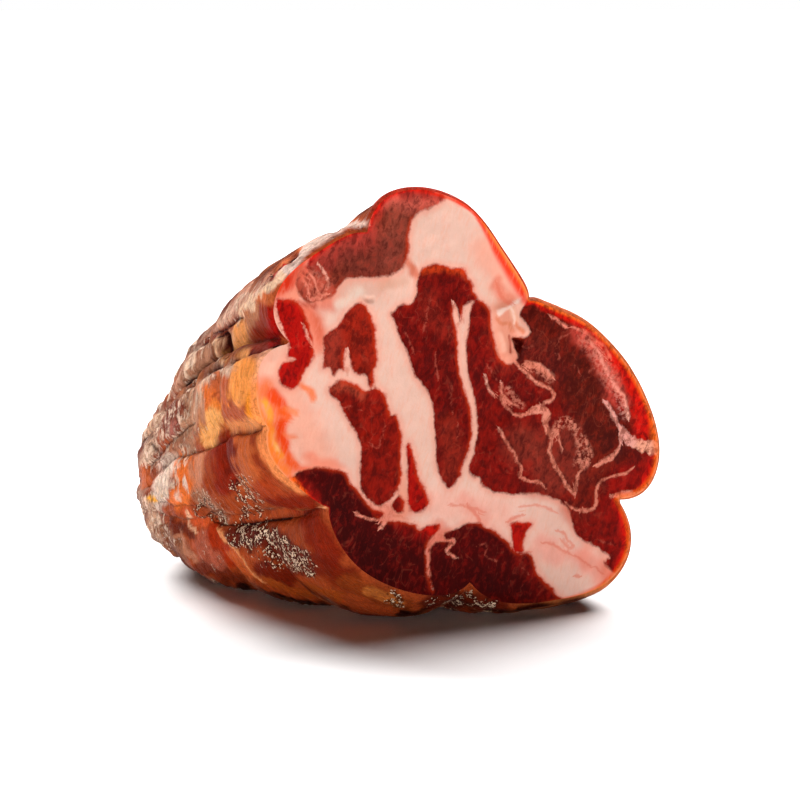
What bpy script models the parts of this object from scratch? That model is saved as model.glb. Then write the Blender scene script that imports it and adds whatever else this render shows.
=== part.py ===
"""Half a coppa: a cured pork neck tied in a net, cut across its thick end and laid on its side.

One solid. The cut is a flat face square to Y, and the body runs back from it along a spine
that bends to the left and sinks towards the tied end. The strings of the net pulled grooves
into the meat: long ones from the cut to the tied end, and ring ones round the body.
Metres, +Z up, the cut faces -Y, the origin is under the middle of the piece on its rest plane.
"""

import bpy
import numpy as np

NAME = "coppa"
MM = 0.001

# Middle of the cut, and how the body runs back from it.
CUT_CENTRE = (0.0030, -0.0557, 0.0584)
SPINE_LENGTH = 0.118
SPINE_TURN = np.radians(58.0)
SPINE_DROP = 0.035
DROP_POWER = 1.35

# Outline of the cut without the strings: angle from the right in degrees, radius in mm.
CUT_OUTLINE = [
    (0, 52.3), (25, 41.3), (56, 33.8), (75, 40.3), (92, 52.3), (112, 60.3), (133, 59.3),
    (147, 62.5), (172, 60.0), (188, 57.0), (204, 50.3), (234, 51.3), (268, 53.3), (294, 61.0),
    (310, 68.3), (340, 62.8),
]
# Long strings of the net at the cut: angle in degrees, depth in mm, half width in degrees.
LONG_STRINGS = [
    (18, 0.0, 4.0), (56, 2.0, 3.0), (122, 6.0, 6.0), (159, 9.0, 4.0),
    (182, 2.5, 4.0), (211, 3.0, 5.0), (271, 6.0, 6.0), (327, 13.5, 6.0),
]
NET_TWIST = np.radians(-14.0)

# The round section that the cut's outline becomes at the tied end: half width, half height.
END_HALF = (0.056, 0.050)
# How long the body stays full before it closes: angle in degrees, power.
FULLNESS = [
    (0, 2.0), (45, 1.8), (90, 1.6), (145, 3.5), (180, 3.0), (225, 2.3), (270, 2.7), (315, 2.4),
]
# Swells and hollows behind the cut: angle in degrees, height. They start over SWELL_START.
SWELLS = [(100, -0.0035), (155, 0.0035), (262, 0.0070)]
SWELL_START = 0.06

# Ring strings, as shares of the spine, and the relief of the net: depth and half width.
RING_STRINGS = [0.31, 0.59, 0.87]
LONG_DEPTH = 0.0022
LONG_WIDTH = 0.0032
RING_DEPTH = 0.0010
RING_WIDTH = 0.030
PILLOW_HEIGHT = 0.0014
# The relief fades in behind the cut and out before the tie, over these shares of the spine.
RELIEF_STARTS = (0.0, 0.12)
RELIEF_ENDS = (1.0, 0.9)

# The edge of the cut is slightly rounded over.
EDGE_ROUND = 0.0012

# Fineness of the skin: columns between two long strings, and rows between two rings.
# They crowd towards the strings by these shares of their even spacing.
COLUMN_DEGREES = 4.0
FEWEST_COLUMNS = 6
COLUMN_CROWDING = 0.55
ROWS_BETWEEN_RINGS = [8, 7, 7, 7]
ROW_CROWDING = 0.4
EDGE_ROWS = [0.0, 0.13, 0.5]
SHARP_EDGE = np.radians(50.0)

CURED_PORK = (0.30, 0.085, 0.045, 1.0)
ROUGHNESS = 0.45


def smooth_step(ends, x):
    """0 at the first end, 1 at the second, and an S-curve between."""
    t = np.clip((x - ends[0]) / (ends[1] - ends[0]), 0, 1)
    return t * t * (3 - 2 * t)


def crowded(count, crowding):
    """count even shares of 0 to 1, pushed towards both ends."""
    share = np.arange(count) / count
    return share - crowding * np.sin(2 * np.pi * share) / (2 * np.pi)


def closed_curve(pairs, degrees):
    """A smooth curve through (angle, value) pairs all the way round, read at other angles."""
    angles = np.array([angle for angle, _ in pairs], float)
    values = np.array([value for _, value in pairs], float)
    angles = np.concatenate([angles[-2:] - 360, angles, angles[:2] + 360])
    values = np.concatenate([values[-2:], values, values[:2]])
    slopes = np.gradient(values, angles)
    at = np.mod(degrees, 360)
    i = np.searchsorted(angles, at, side="right") - 1
    step = angles[i + 1] - angles[i]
    t = (at - angles[i]) / step
    return (
        (2 * t**3 - 3 * t**2 + 1) * values[i]
        + (t**3 - 2 * t**2 + t) * step * slopes[i]
        + (3 * t**2 - 2 * t**3) * values[i + 1]
        + (t**3 - t**2) * step * slopes[i + 1]
    )


def cut_radius(column):
    """Radius of the cut in metres at an angle: its outline, notched by the long strings."""
    radius = closed_curve(CUT_OUTLINE, column)
    for angle, depth, width in LONG_STRINGS:
        away = np.abs(np.mod(column - angle + 180, 360) - 180)
        radius = radius - depth * np.exp(-away / width)
    return radius * MM


def net_relief(column, along, radius):
    """Height of the skin over the plain body: grooves under the strings, pillows between."""
    strings = np.array([angle for angle, _, _ in LONG_STRINGS])
    strings = np.append(strings, strings[0] + 360)
    turned = np.mod(column - strings[0], 360) + strings[0]
    i = np.clip(np.searchsorted(strings, turned, side="right") - 1, 0, len(strings) - 2)
    to_string = np.minimum(turned - strings[i], strings[i + 1] - turned)
    across = (turned - strings[i]) / (strings[i + 1] - strings[i])
    rings = np.array([0.0] + RING_STRINGS + [1.0])
    j = np.clip(np.searchsorted(rings, along, side="right") - 1, 0, len(rings) - 2)
    down = (along - rings[j]) / (rings[j + 1] - rings[j])
    to_ring = np.min([np.abs(along - ring) for ring in RING_STRINGS], axis=0)
    long_groove = LONG_DEPTH * np.exp(-np.radians(to_string) * radius / LONG_WIDTH)
    ring_groove = RING_DEPTH * np.exp(-to_ring / RING_WIDTH)
    pillow = PILLOW_HEIGHT * np.sin(np.pi * across) * np.sin(np.pi * down)
    fade = smooth_step(RELIEF_STARTS, along) * smooth_step(RELIEF_ENDS, along)
    return (pillow - long_groove - ring_groove) * fade


def skin_point(column, along):
    """Points of the skin: column is an angle at the cut in degrees, along runs 0 to 1 to the tie.

    radius = (cut * (1 - along) + end * along + swell) * sqrt(1 - along ** power) + relief, in a
    section that stands square to the spine. What would sink below the rest plane lies flat."""
    angle = np.radians(column) + NET_TWIST * along
    side = np.cos(angle)
    up = np.sin(angle)
    end = 1 / np.sqrt((side / END_HALF[0]) ** 2 + (up / END_HALF[1]) ** 2)
    swell = np.zeros_like(angle)
    for at, height in SWELLS:
        swell = swell + height * np.clip(np.cos(angle - np.radians(at)), 0, 1) ** 2
    swell = swell * (1 - np.exp(-along / SWELL_START)) * (1 - along)
    power = closed_curve(FULLNESS, np.degrees(angle))
    closing = np.sqrt(np.clip(1 - along**power, 0, 1))
    radius = (cut_radius(column) * (1 - along) + end * along + swell) * closing
    radius = radius + net_relief(column, along, radius)
    from_cut = np.clip(along * SPINE_LENGTH / EDGE_ROUND, 0, 1)
    radius = radius - EDGE_ROUND * (1 - np.sqrt(1 - (1 - from_cut) ** 2))
    turn = SPINE_TURN * along
    bend = SPINE_LENGTH / SPINE_TURN
    x = CUT_CENTRE[0] - bend * (1 - np.cos(turn)) + radius * side * np.cos(turn)
    y = CUT_CENTRE[1] + bend * np.sin(turn) + radius * side * np.sin(turn)
    z = CUT_CENTRE[2] - SPINE_DROP * along**DROP_POWER + radius * up
    return np.stack([x, y, np.maximum(z, 0.0)], axis=-1)


def columns_of_the_net():
    """Angles of the mesh columns, closer together beside each long string."""
    strings = [angle for angle, _, _ in LONG_STRINGS]
    columns = []
    for start, stop in zip(strings, strings[1:] + [strings[0] + 360]):
        count = max(FEWEST_COLUMNS, round((stop - start) / COLUMN_DEGREES))
        columns.extend(start + (stop - start) * crowded(count, COLUMN_CROWDING))
    return np.array(columns)


def rows_of_the_net():
    """Shares of the spine for the mesh rows: the rounded edge, crowded at the rings, the end."""
    edge = EDGE_ROUND / SPINE_LENGTH
    rows = [share * edge for share in EDGE_ROWS]
    rings = [edge] + RING_STRINGS
    for start, stop, count in zip(rings, rings[1:], ROWS_BETWEEN_RINGS):
        rows.extend(start + (stop - start) * crowded(count, ROW_CROWDING))
    last_count = ROWS_BETWEEN_RINGS[-1]
    rounding_off = np.sin(np.arange(last_count) / last_count * np.pi / 2)
    rows.extend(rings[-1] + (1 - rings[-1]) * rounding_off)
    return np.array(rows)


def make_mesh():
    """The closed loft: one flat face for the cut, rows of the skin, and a fan at the tie."""
    column, along = np.meshgrid(columns_of_the_net(), rows_of_the_net())
    points = skin_point(column, along).reshape(-1, 3)
    tie = skin_point(np.array([0.0]), np.array([1.0]))
    rows, columns = column.shape
    here = np.arange(columns)
    beside = np.roll(here, -1)
    faces = [tuple(int(i) for i in here)]
    for row in range(rows - 1):
        near = row * columns
        far = near + columns
        quads = np.stack([near + here, far + here, far + beside, near + beside], axis=-1)
        faces.extend(tuple(quad) for quad in quads.tolist())
    last = (rows - 1) * columns
    tip = rows * columns
    faces.extend((last + int(a), tip, last + int(b)) for a, b in zip(here, beside))
    mesh = bpy.data.meshes.new(NAME)
    mesh.from_pydata(np.vstack([points, tie]).tolist(), [], faces)
    mesh.validate()
    mesh.shade_smooth()
    mesh.set_sharp_from_angle(angle=SHARP_EDGE)
    return mesh


def make_material():
    """Cured pork, between the dark lean and the pale fat."""
    material = bpy.data.materials.new("cured_pork")
    material.use_nodes = True
    shader = material.node_tree.nodes["Principled BSDF"]
    shader.inputs["Base Color"].default_value = CURED_PORK
    shader.inputs["Roughness"].default_value = ROUGHNESS
    shader.inputs["Metallic"].default_value = 0.0
    return material


def main():
    """Clear the scene and put the one solid in a collection of its own."""
    for thing in list(bpy.data.objects):
        bpy.data.objects.remove(thing)
    mesh = make_mesh()
    mesh.materials.append(make_material())
    collection = bpy.data.collections.new(NAME)
    bpy.context.scene.collection.children.link(collection)
    collection.objects.link(bpy.data.objects.new(NAME, mesh))


main()
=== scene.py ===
# %% [markdown]
# # Half a coppa, with its cut face to the camera
#
# A coppa is a pork neck, salted, pressed into a net and dried for months. This one is cut across
# its thick middle, and the half with the tied end lies on its side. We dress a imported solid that
# already has the right size: a new, much finer surface takes its place, the marbling is drawn as
# muscle outlines, and the wrinkled skin is carved and coloured behind the cut.

import bpy
import numpy as np
from mathutils import Matrix


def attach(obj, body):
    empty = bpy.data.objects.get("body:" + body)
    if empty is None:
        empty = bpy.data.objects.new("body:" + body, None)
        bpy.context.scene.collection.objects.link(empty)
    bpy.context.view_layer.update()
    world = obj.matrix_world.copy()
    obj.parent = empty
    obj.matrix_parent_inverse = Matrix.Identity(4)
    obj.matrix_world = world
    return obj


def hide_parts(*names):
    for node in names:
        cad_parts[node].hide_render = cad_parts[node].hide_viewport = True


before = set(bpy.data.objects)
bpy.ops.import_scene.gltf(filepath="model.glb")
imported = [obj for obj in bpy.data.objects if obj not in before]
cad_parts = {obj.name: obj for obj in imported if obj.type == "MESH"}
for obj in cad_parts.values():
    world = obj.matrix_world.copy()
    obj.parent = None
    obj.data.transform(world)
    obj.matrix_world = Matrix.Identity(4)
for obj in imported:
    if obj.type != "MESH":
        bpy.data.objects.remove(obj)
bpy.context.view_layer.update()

NODE = "coppa"
MM = 0.001

# %% [markdown]
# ## The camera
#
# The photo was taken with a long lens from a little above the table. The camera comes first, since
# the marbling and the creases are read off the photo, and the same camera turns a place in the
# picture into a place on the meat. Lengths are in millimetres until the mesh is made.

# %% Set up the camera of the photo
IMAGE = 800
LENS = 100.0
SENSOR = 36.0
FOCAL = LENS / SENSOR * IMAGE
AIM = np.array([-4.5, -30.7, 56.0])
AZIMUTH = np.radians(-25.0)
ELEVATION = np.radians(10.0)
PIXELS_PER_MM = 3.8
CLIP_START = 0.01

RIGHT = np.array([np.cos(AZIMUTH), np.sin(AZIMUTH), 0.0])
BACK = np.array([
    np.sin(AZIMUTH) * np.cos(ELEVATION),
    -np.cos(AZIMUTH) * np.cos(ELEVATION),
    np.sin(ELEVATION),
])
UP = np.cross(BACK, RIGHT)
EYE = AIM + BACK * FOCAL / PIXELS_PER_MM

camera = bpy.data.objects.new("camera", bpy.data.cameras.new("camera"))
camera.data.lens = LENS
camera.data.sensor_width = SENSOR
camera.data.clip_start = CLIP_START
turn = Matrix(np.stack([RIGHT, UP, BACK], axis=1).tolist()).to_4x4()
camera.matrix_world = Matrix.Translation((EYE * MM).tolist()) @ turn
bpy.context.scene.collection.objects.link(camera)
bpy.context.scene.camera = camera
print("the camera stands", round(float(np.linalg.norm(EYE - AIM))), "mm away")


# %% [markdown]
# ## From the picture to the meat
#
# The cut is a plane, so a pixel's ray meets it in one point. The skin is curved, and there it is
# easier the other way: every point of the skin is seen at some pixel, if it faces the camera.

# %% Two ways through the camera
def photo_of(points):
    """Pixel (across, down) at which the camera sees each point: FOCAL * sideways / depth."""
    away = points - EYE
    depth = -(away @ BACK)
    return np.stack([
        IMAGE / 2 + FOCAL * (away @ RIGHT) / depth,
        IMAGE / 2 - FOCAL * (away @ UP) / depth,
    ], axis=-1)


def cut_point_of(pixels):
    """(x, z) where the ray of each pixel meets the plane of the cut, in millimetres."""
    pixels = np.asarray(pixels, float)
    across = (pixels[:, :1] - IMAGE / 2) / FOCAL
    down = (pixels[:, 1:] - IMAGE / 2) / FOCAL
    rays = -BACK + across * RIGHT - down * UP
    reach = (CUT_CENTRE[1] - EYE[1]) / rays[:, 1:2]
    return (EYE + reach * rays)[:, [0, 2]]


# %% [markdown]
# ## The shape of the half
#
# The shape is a loft. Its first section is the rim of the cut, an outline notched by the long
# strings of the net. The later sections stand square to a spine that bends to the left and sinks,
# grow rounder, and close at the tied end. The net leaves grooves along the strings and soft
# pillows between them. These are the same sizes as in the solid, so the fine surface fits it.

# %% Name the sizes of the half
CUT_CENTRE = np.array([3.0, -55.7, 58.4])
SPINE_LENGTH = 118.0
SPINE_TURN = np.radians(58.0)
SPINE_DROP = 35.0
DROP_POWER = 1.35
CUT_OUTLINE = [
    (0, 52.3), (25, 41.3), (56, 33.8), (75, 40.3), (92, 52.3), (112, 60.3), (133, 59.3),
    (147, 62.5), (172, 60.0), (188, 57.0), (204, 50.3), (234, 51.3), (268, 53.3), (294, 61.0),
    (310, 68.3), (340, 62.8),
]
LONG_STRINGS = [
    (18, 0.0, 4.0), (56, 2.0, 3.0), (122, 6.0, 6.0), (159, 9.0, 4.0),
    (182, 2.5, 4.0), (211, 3.0, 5.0), (271, 6.0, 6.0), (327, 13.5, 6.0),
]
NET_TWIST = np.radians(-14.0)
END_HALF = (56.0, 50.0)
FULLNESS = [
    (0, 2.0), (45, 1.8), (90, 1.6), (145, 3.5), (180, 3.0), (225, 2.3), (270, 2.7), (315, 2.4),
]
SWELLS = [(100, -3.5), (155, 3.5), (262, 7.0)]
SWELL_START = 0.06
RING_STRINGS = [0.31, 0.59, 0.87]
LONG_DEPTH = 2.2
LONG_WIDTH = 3.2
RING_DEPTH = 1.0
RING_WIDTH = 0.030
PILLOW_HEIGHT = 1.4
RELIEF_STARTS = (0.0, 0.12)
RELIEF_ENDS = (1.0, 0.9)
EDGE_ROUND = 1.2
print("a spine of", SPINE_LENGTH, "mm,", len(LONG_STRINGS), "long strings,", len(RING_STRINGS), "rings")


# %% [markdown]
# Two small curves do most of the work: an S-shaped step that fades one thing into another, and a
# smooth closed curve through a few values round the rim.

# %% Define the curves
def step(low, high, x):
    """0 at low, 1 at high, and an S-curve between: 3t^2 - 2t^3."""
    t = np.clip((x - low) / (high - low), 0, 1)
    return t * t * (3 - 2 * t)


def closed_curve(pairs, degrees):
    """Cubic through (angle, value) pairs all the way round, read at other angles."""
    angles = np.array([angle for angle, _ in pairs], float)
    values = np.array([value for _, value in pairs], float)
    angles = np.concatenate([angles[-2:] - 360, angles, angles[:2] + 360])
    values = np.concatenate([values[-2:], values, values[:2]])
    slopes = np.gradient(values, angles)
    at = np.mod(degrees, 360)
    i = np.searchsorted(angles, at, side="right") - 1
    gap = angles[i + 1] - angles[i]
    t = (at - angles[i]) / gap
    return (
        (2 * t**3 - 3 * t**2 + 1) * values[i]
        + (t**3 - 2 * t**2 + t) * gap * slopes[i]
        + (3 * t**2 - 2 * t**3) * values[i + 1]
        + (t**3 - t**2) * gap * slopes[i + 1]
    )


def cut_radius(column):
    """Radius of the cut at an angle: the outline less depth * exp(-angle away / width)."""
    radius = closed_curve(CUT_OUTLINE, column)
    for angle, depth, width in LONG_STRINGS:
        away = np.abs(np.mod(column - angle + 180, 360) - 180)
        radius = radius - depth * np.exp(-away / width)
    return radius


# %% [markdown]
# The loft itself takes two parameters, the angle of a column at the cut and the share of the spine.
# It also gives the place in a straightened body, which the wrinkles follow later on.

# %% Define the skin as a surface of two parameters
def net_relief(column, along, radius):
    """Pillows as products of sines between the strings, less exp(-distance / width) grooves."""
    strings = np.array([angle for angle, _, _ in LONG_STRINGS])
    strings = np.append(strings, strings[0] + 360)
    turned = np.mod(column - strings[0], 360) + strings[0]
    i = np.clip(np.searchsorted(strings, turned, side="right") - 1, 0, len(strings) - 2)
    to_string = np.radians(np.minimum(turned - strings[i], strings[i + 1] - turned)) * radius
    across = (turned - strings[i]) / (strings[i + 1] - strings[i])
    rings = np.array([0.0] + RING_STRINGS + [1.0])
    j = np.clip(np.searchsorted(rings, along, side="right") - 1, 0, len(rings) - 2)
    down = (along - rings[j]) / (rings[j + 1] - rings[j])
    to_ring = np.min([np.abs(along - ring) for ring in RING_STRINGS], axis=0)
    long_groove = LONG_DEPTH * np.exp(-to_string / LONG_WIDTH)
    ring_groove = RING_DEPTH * np.exp(-to_ring / RING_WIDTH)
    pillow = PILLOW_HEIGHT * np.sin(np.pi * across) * np.sin(np.pi * down)
    fade = step(*RELIEF_STARTS, along) * step(*RELIEF_ENDS, along)
    return (pillow - long_groove - ring_groove) * fade, to_string, to_ring * SPINE_LENGTH


def skin_surface(column, along):
    """radius = (cut * (1 - s) + end * s + swell) * sqrt(1 - s^power) + relief, set on the spine.

    Gives the points, the points of the straightened body, and how far the strings are."""
    angle = np.radians(column) + NET_TWIST * along
    side = np.cos(angle)
    up = np.sin(angle)
    end = 1 / np.sqrt((side / END_HALF[0]) ** 2 + (up / END_HALF[1]) ** 2)
    swell = np.zeros_like(angle)
    for at, height in SWELLS:
        swell = swell + height * np.clip(np.cos(angle - np.radians(at)), 0, 1) ** 2
    swell = swell * (1 - np.exp(-along / SWELL_START)) * (1 - along)
    closing = np.sqrt(np.clip(1 - along ** closed_curve(FULLNESS, np.degrees(angle)), 0, 1))
    radius = (cut_radius(column) * (1 - along) + end * along + swell) * closing
    relief, to_string, to_ring = net_relief(column, along, radius)
    from_cut = np.clip(along * SPINE_LENGTH / EDGE_ROUND, 0, 1)
    radius = radius + relief - EDGE_ROUND * (1 - np.sqrt(1 - (1 - from_cut) ** 2))
    turned = SPINE_TURN * along
    bend = SPINE_LENGTH / SPINE_TURN
    x = CUT_CENTRE[0] - bend * (1 - np.cos(turned)) + radius * side * np.cos(turned)
    y = CUT_CENTRE[1] + bend * np.sin(turned) + radius * side * np.sin(turned)
    z = CUT_CENTRE[2] - SPINE_DROP * along**DROP_POWER + radius * up
    straight = np.stack([radius * side, radius * up, along * SPINE_LENGTH], axis=-1)
    return np.stack([x, y, np.maximum(z, 0.0)], axis=-1), straight, to_string, to_ring


# %% [markdown]
# The grid has even steps on the meat: about 0.8 mm round it and 1.1 mm along it, and 0.6 mm from
# the rim of the cut to its middle. That is fine enough for the seams of fat, and stays well under
# two hundred thousand triangles.

# %% Lay the grid over the skin and over the cut
COLUMNS = 440
SKIN_ROWS = 131
CUT_RINGS = 88
EDGE_ROWS = [0.0, 0.13, 0.5]
PROFILE_HALF = 52.0
PROFILE_POWER = 2.4
PROFILE_STEPS = 4000

column = np.arange(COLUMNS) * 360.0 / COLUMNS
fine = np.linspace(0, 1, PROFILE_STEPS)
profile = PROFILE_HALF * np.sqrt(1 - fine**PROFILE_POWER)
hops = np.hypot(np.diff(profile), np.diff(fine) * SPINE_LENGTH)
travelled = np.concatenate([[0], np.cumsum(hops)])
edge = EDGE_ROUND / SPINE_LENGTH
even = np.interp(np.linspace(0, travelled[-1], SKIN_ROWS + 1)[:-1], travelled, fine)
along = np.concatenate([np.array(EDGE_ROWS) * edge, edge + even * (1 - edge)])
column_grid, along_grid = np.meshgrid(column, along)
skin, straight, to_string, to_ring = skin_surface(column_grid, along_grid)
tie = skin_surface(np.array([0.0]), np.array([1.0]))[0]

share = 1 - np.arange(1, CUT_RINGS) / CUT_RINGS
cut = CUT_CENTRE + share[:, None, None] * (skin[0] - CUT_CENTRE)
print("skin grid", skin.shape[:2], "cut grid", cut.shape[:2])


# %% [markdown]
# ## Distances to drawn lines
#
# Muscles, seams and creases are all drawn as a few points. A smooth curve goes through the points,
# and then each vertex of the grid is told how far it is from that curve, with a minus sign outside
# an outline. The distance is smooth, so the grid can carry an edge finer than itself.

# %% Define curves through points and the distance to them
CURVE_STEPS = 5
TINY = 1e-9
TOUCHING = 1e-6


def smooth_path(points, closed):
    """Catmull-Rom curve through given points, CURVE_STEPS short lines to a span."""
    points = np.asarray(points, float)
    if closed:
        padded = np.vstack([points[-1:], points, points[:2]])
    else:
        padded = np.vstack([2 * points[:1] - points[1:2], points, 2 * points[-1:] - points[-2:-1]])
    t = (np.arange(CURVE_STEPS) / CURVE_STEPS)[None, :, None]
    a, b, c, d = (padded[i : len(padded) - 3 + i][:, None] for i in range(4))
    spans = b + 0.5 * t * (c - a + t * (2 * a - 5 * b + 4 * c - d + t * (3 * (b - c) + d - a)))
    path = spans.reshape(-1, 2)
    return path if closed else np.vstack([path, points[-1:]])


def away_from_path(places, path, closed=False):
    """Distance to a path, the vector from its nearest point, and +1 or -1 for its side.

    On a straight piece the nearest point is start + t * line, with t = gap . line / line . line
    held from 0 to 1, and the side is the sign of the cross product line x gap."""
    ends = np.roll(path, -1, axis=0) if closed else path[1:]
    nearest = np.full(len(places), np.inf)
    offset = np.zeros_like(places)
    side = np.ones(len(places))
    for start, stop in zip(path, ends):
        line = stop - start
        gap = places - start
        cross = line[0] * gap[:, 1] - line[1] * gap[:, 0]
        t = np.clip(gap @ line / max(line @ line, TINY), 0, 1)
        gap = gap - t[:, None] * line
        squared = (gap**2).sum(axis=1)
        closer = squared < nearest
        nearest[closer] = squared[closer]
        offset[closer] = gap[closer]
        side[closer] = np.sign(cross[closer])
    return np.sqrt(nearest), offset, side


def inside(places, path):
    """True for places that a closed path goes round: a ray to the right crosses it oddly often."""
    odd = np.zeros(len(places), bool)
    for start, stop in zip(path, np.roll(path, -1, axis=0)):
        spans = (start[1] > places[:, 1]) != (stop[1] > places[:, 1])
        rise = stop[1] - start[1]
        meets = start[0] + (places[:, 1] - start[1]) * (stop[0] - start[0]) / (rise if rise else TINY)
        odd ^= spans & (places[:, 0] < meets)
    return odd


def signed_distance(places, path):
    """Distance to a closed path, positive inside, and the unit vector that leads deeper."""
    distance, offset, _ = away_from_path(places, path, closed=True)
    sign = np.where(inside(places, path), 1.0, -1.0)
    inward = offset / np.maximum(distance, TOUCHING)[:, None] * sign[:, None]
    return distance * sign, inward


def from_stroke(points, pixels, to_plane):
    """Distance of each point from the smooth curve through a stroke's pixels."""
    return away_from_path(points, to_plane(smooth_path(pixels, False)))[0]


def densest(points, patches, to_plane):
    """The densest patch at each point: whole on its path, gone at 1.4 half widths from it."""
    density = np.zeros(len(points))
    for half_width, most, pixels in patches:
        gap = from_stroke(points, pixels, to_plane)
        density = np.maximum(density, most * step(1.4, 0.5, gap / half_width))
    return density


# %% [markdown]
# Thin seams need one trick. Between two points of the grid the renderer blends their numbers, and a
# distance that is never negative would blend to a row of beads. So each point also says on which
# side of its nearest stroke it lies, with a sign. Blended, that number crosses zero right on the
# stroke, and the material can draw a line much thinner than the grid.

# %% Measure thin strokes from both sides
FAR = 50.0


def nearest_stroke(points, drawing, to_plane):
    """Signed distance across the nearest stroke, plain distance to it, and its half width."""
    across = np.full(len(points), FAR)
    gap = np.full(len(points), FAR)
    width = np.zeros(len(points))
    for half_width, pixels in drawing:
        distance, _, side = away_from_path(points, to_plane(smooth_path(pixels, False)))
        closer = distance - half_width < gap - width
        across[closer] = (side * distance)[closer]
        gap[closer] = distance[closer]
        width[closer] = half_width
    return across, gap, width


# %% [markdown]
# ## The muscles of the cut
#
# The neck is a bundle of muscles in fat. In this cut a grey-brown one lies at the top left, a bright
# red strip hangs under it, two long ones stand side by side in the middle, a folded mass fills the
# right lobe, and two dark ones lie along the bottom. Each outline is a short list of pixels of the
# photo, kept by name, and goes to the plane of the cut through the camera.

# %% Draw the outlines of the muscles
MUSCLES = {
    "top": [
        (306, 266), (313, 252), (330, 238), (350, 229), (368, 227), (372, 212), (381, 194),
        (400, 185), (424, 188), (446, 196), (436, 206), (422, 211), (413, 219), (409, 235),
        (408, 250), (405, 263), (396, 272), (380, 277), (360, 277), (346, 279), (338, 288),
        (333, 297), (320, 301), (308, 303), (300, 297), (296, 285), (299, 273),
    ],
    "red_strip": [
        (275, 300), (290, 299), (300, 303), (307, 318), (312, 335), (314, 352), (312, 361),
        (305, 371), (300, 382), (295, 388), (286, 388), (279, 382), (279, 368), (284, 362),
        (297, 359), (286, 357), (289, 348), (284, 336), (277, 318),
    ],
    "island": [
        (358, 302), (365, 305), (371, 315), (375, 328), (376, 345), (378, 359), (374, 372),
        (374, 383), (370, 390), (367, 381), (365, 376), (354, 373), (351, 362), (347, 349),
        (344, 358), (344, 370), (339, 370), (333, 376), (329, 368), (322, 368), (324, 353),
        (323, 340), (328, 332), (338, 325), (347, 312),
    ],
    "left_middle": [
        (331, 386), (341, 380), (354, 384), (366, 391), (376, 388), (384, 392), (388, 404),
        (391, 415), (396, 415), (401, 427), (402, 445), (401, 465), (401, 480), (398, 490),
        (388, 502), (378, 506), (368, 500), (360, 488), (360, 470), (361, 448), (357, 434),
        (350, 423), (344, 412), (337, 400), (329, 392),
    ],
    "splinter": [
        (408, 442), (412, 450), (416, 462), (418, 475), (424, 487), (429, 500), (426, 508),
        (418, 512), (411, 511), (408, 503), (407, 488), (407, 470), (406, 452),
    ],
    "chip": [(400, 494), (404, 499), (404, 508), (400, 514), (394, 510), (391, 506), (395, 500)],
    "lens": [(366, 508), (374, 510), (383, 511), (385, 514), (382, 518), (374, 517), (367, 514)],
    "middle": [
        (422, 268), (435, 264), (450, 267), (465, 269), (467, 278), (472, 281), (474, 292),
        (478, 299), (472, 301), (464, 306), (462, 316), (460, 321), (457, 312), (455, 305),
        (453, 315), (456, 326), (458, 345), (459, 362), (463, 382), (469, 400), (473, 420),
        (472, 438), (468, 455), (462, 466), (460, 476), (449, 488), (441, 478), (436, 462),
        (436, 447), (434, 425), (433, 408), (429, 394), (421, 383), (414, 373), (408, 355),
        (400, 337), (394, 320), (391, 313), (402, 304), (411, 303), (416, 292), (416, 282),
    ],
    "right_mass": [
        (476, 300), (483, 302), (490, 311), (491, 325), (494, 338), (500, 357), (509, 364),
        (518, 356), (515, 349), (511, 338), (518, 337), (526, 336), (529, 331), (524, 321),
        (519, 315), (524, 305), (531, 296), (545, 294), (566, 308), (600, 330), (636, 372),
        (658, 418), (664, 445), (658, 476), (642, 491), (621, 500), (629, 524), (632, 540),
        (624, 568), (614, 573), (604, 562), (611, 558), (602, 552), (599, 548), (588, 543),
        (577, 535), (572, 523), (568, 510), (560, 501), (545, 496), (530, 493), (508, 494),
        (492, 491), (483, 486), (479, 477), (474, 478), (469, 468), (474, 452), (478, 430),
        (477, 412), (474, 394), (469, 378), (467, 360), (466, 345), (468, 330), (471, 310),
    ],
    "flag": [
        (510, 523), (520, 522), (532, 523), (527, 532), (523, 543), (522, 552), (513, 551),
        (512, 541), (511, 531),
    ],
    "bottom_left": [
        (284, 478), (291, 478), (300, 472), (318, 467), (335, 469), (346, 472), (350, 482),
        (357, 489), (366, 500), (374, 510), (384, 520), (398, 521), (413, 524), (420, 529),
        (427, 526), (439, 524), (437, 532), (429, 541), (427, 551), (428, 562), (429, 577),
        (435, 592), (440, 604), (398, 594), (355, 580), (325, 545), (318, 512), (300, 496),
    ],
    "bottom_right": [
        (443, 534), (452, 531), (464, 524), (477, 523), (488, 527), (499, 534), (509, 543),
        (514, 550), (520, 553), (529, 552), (533, 560), (537, 572), (548, 585), (558, 595),
        (565, 606), (500, 610), (440, 606), (433, 590), (430, 575), (429, 562), (430, 551),
        (434, 544), (440, 541), (446, 540),
    ],
}
print(len(MUSCLES), "muscles of", sum(map(len, MUSCLES.values())), "points")

# %% [markdown]
# ## The seams of fat
#
# Inside the lean run seams where one muscle ends and the next begins. They are strokes with a half
# width in millimetres. The right lobe is folded in on itself, so its seams curl, and one of them
# goes round a porous island.

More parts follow.
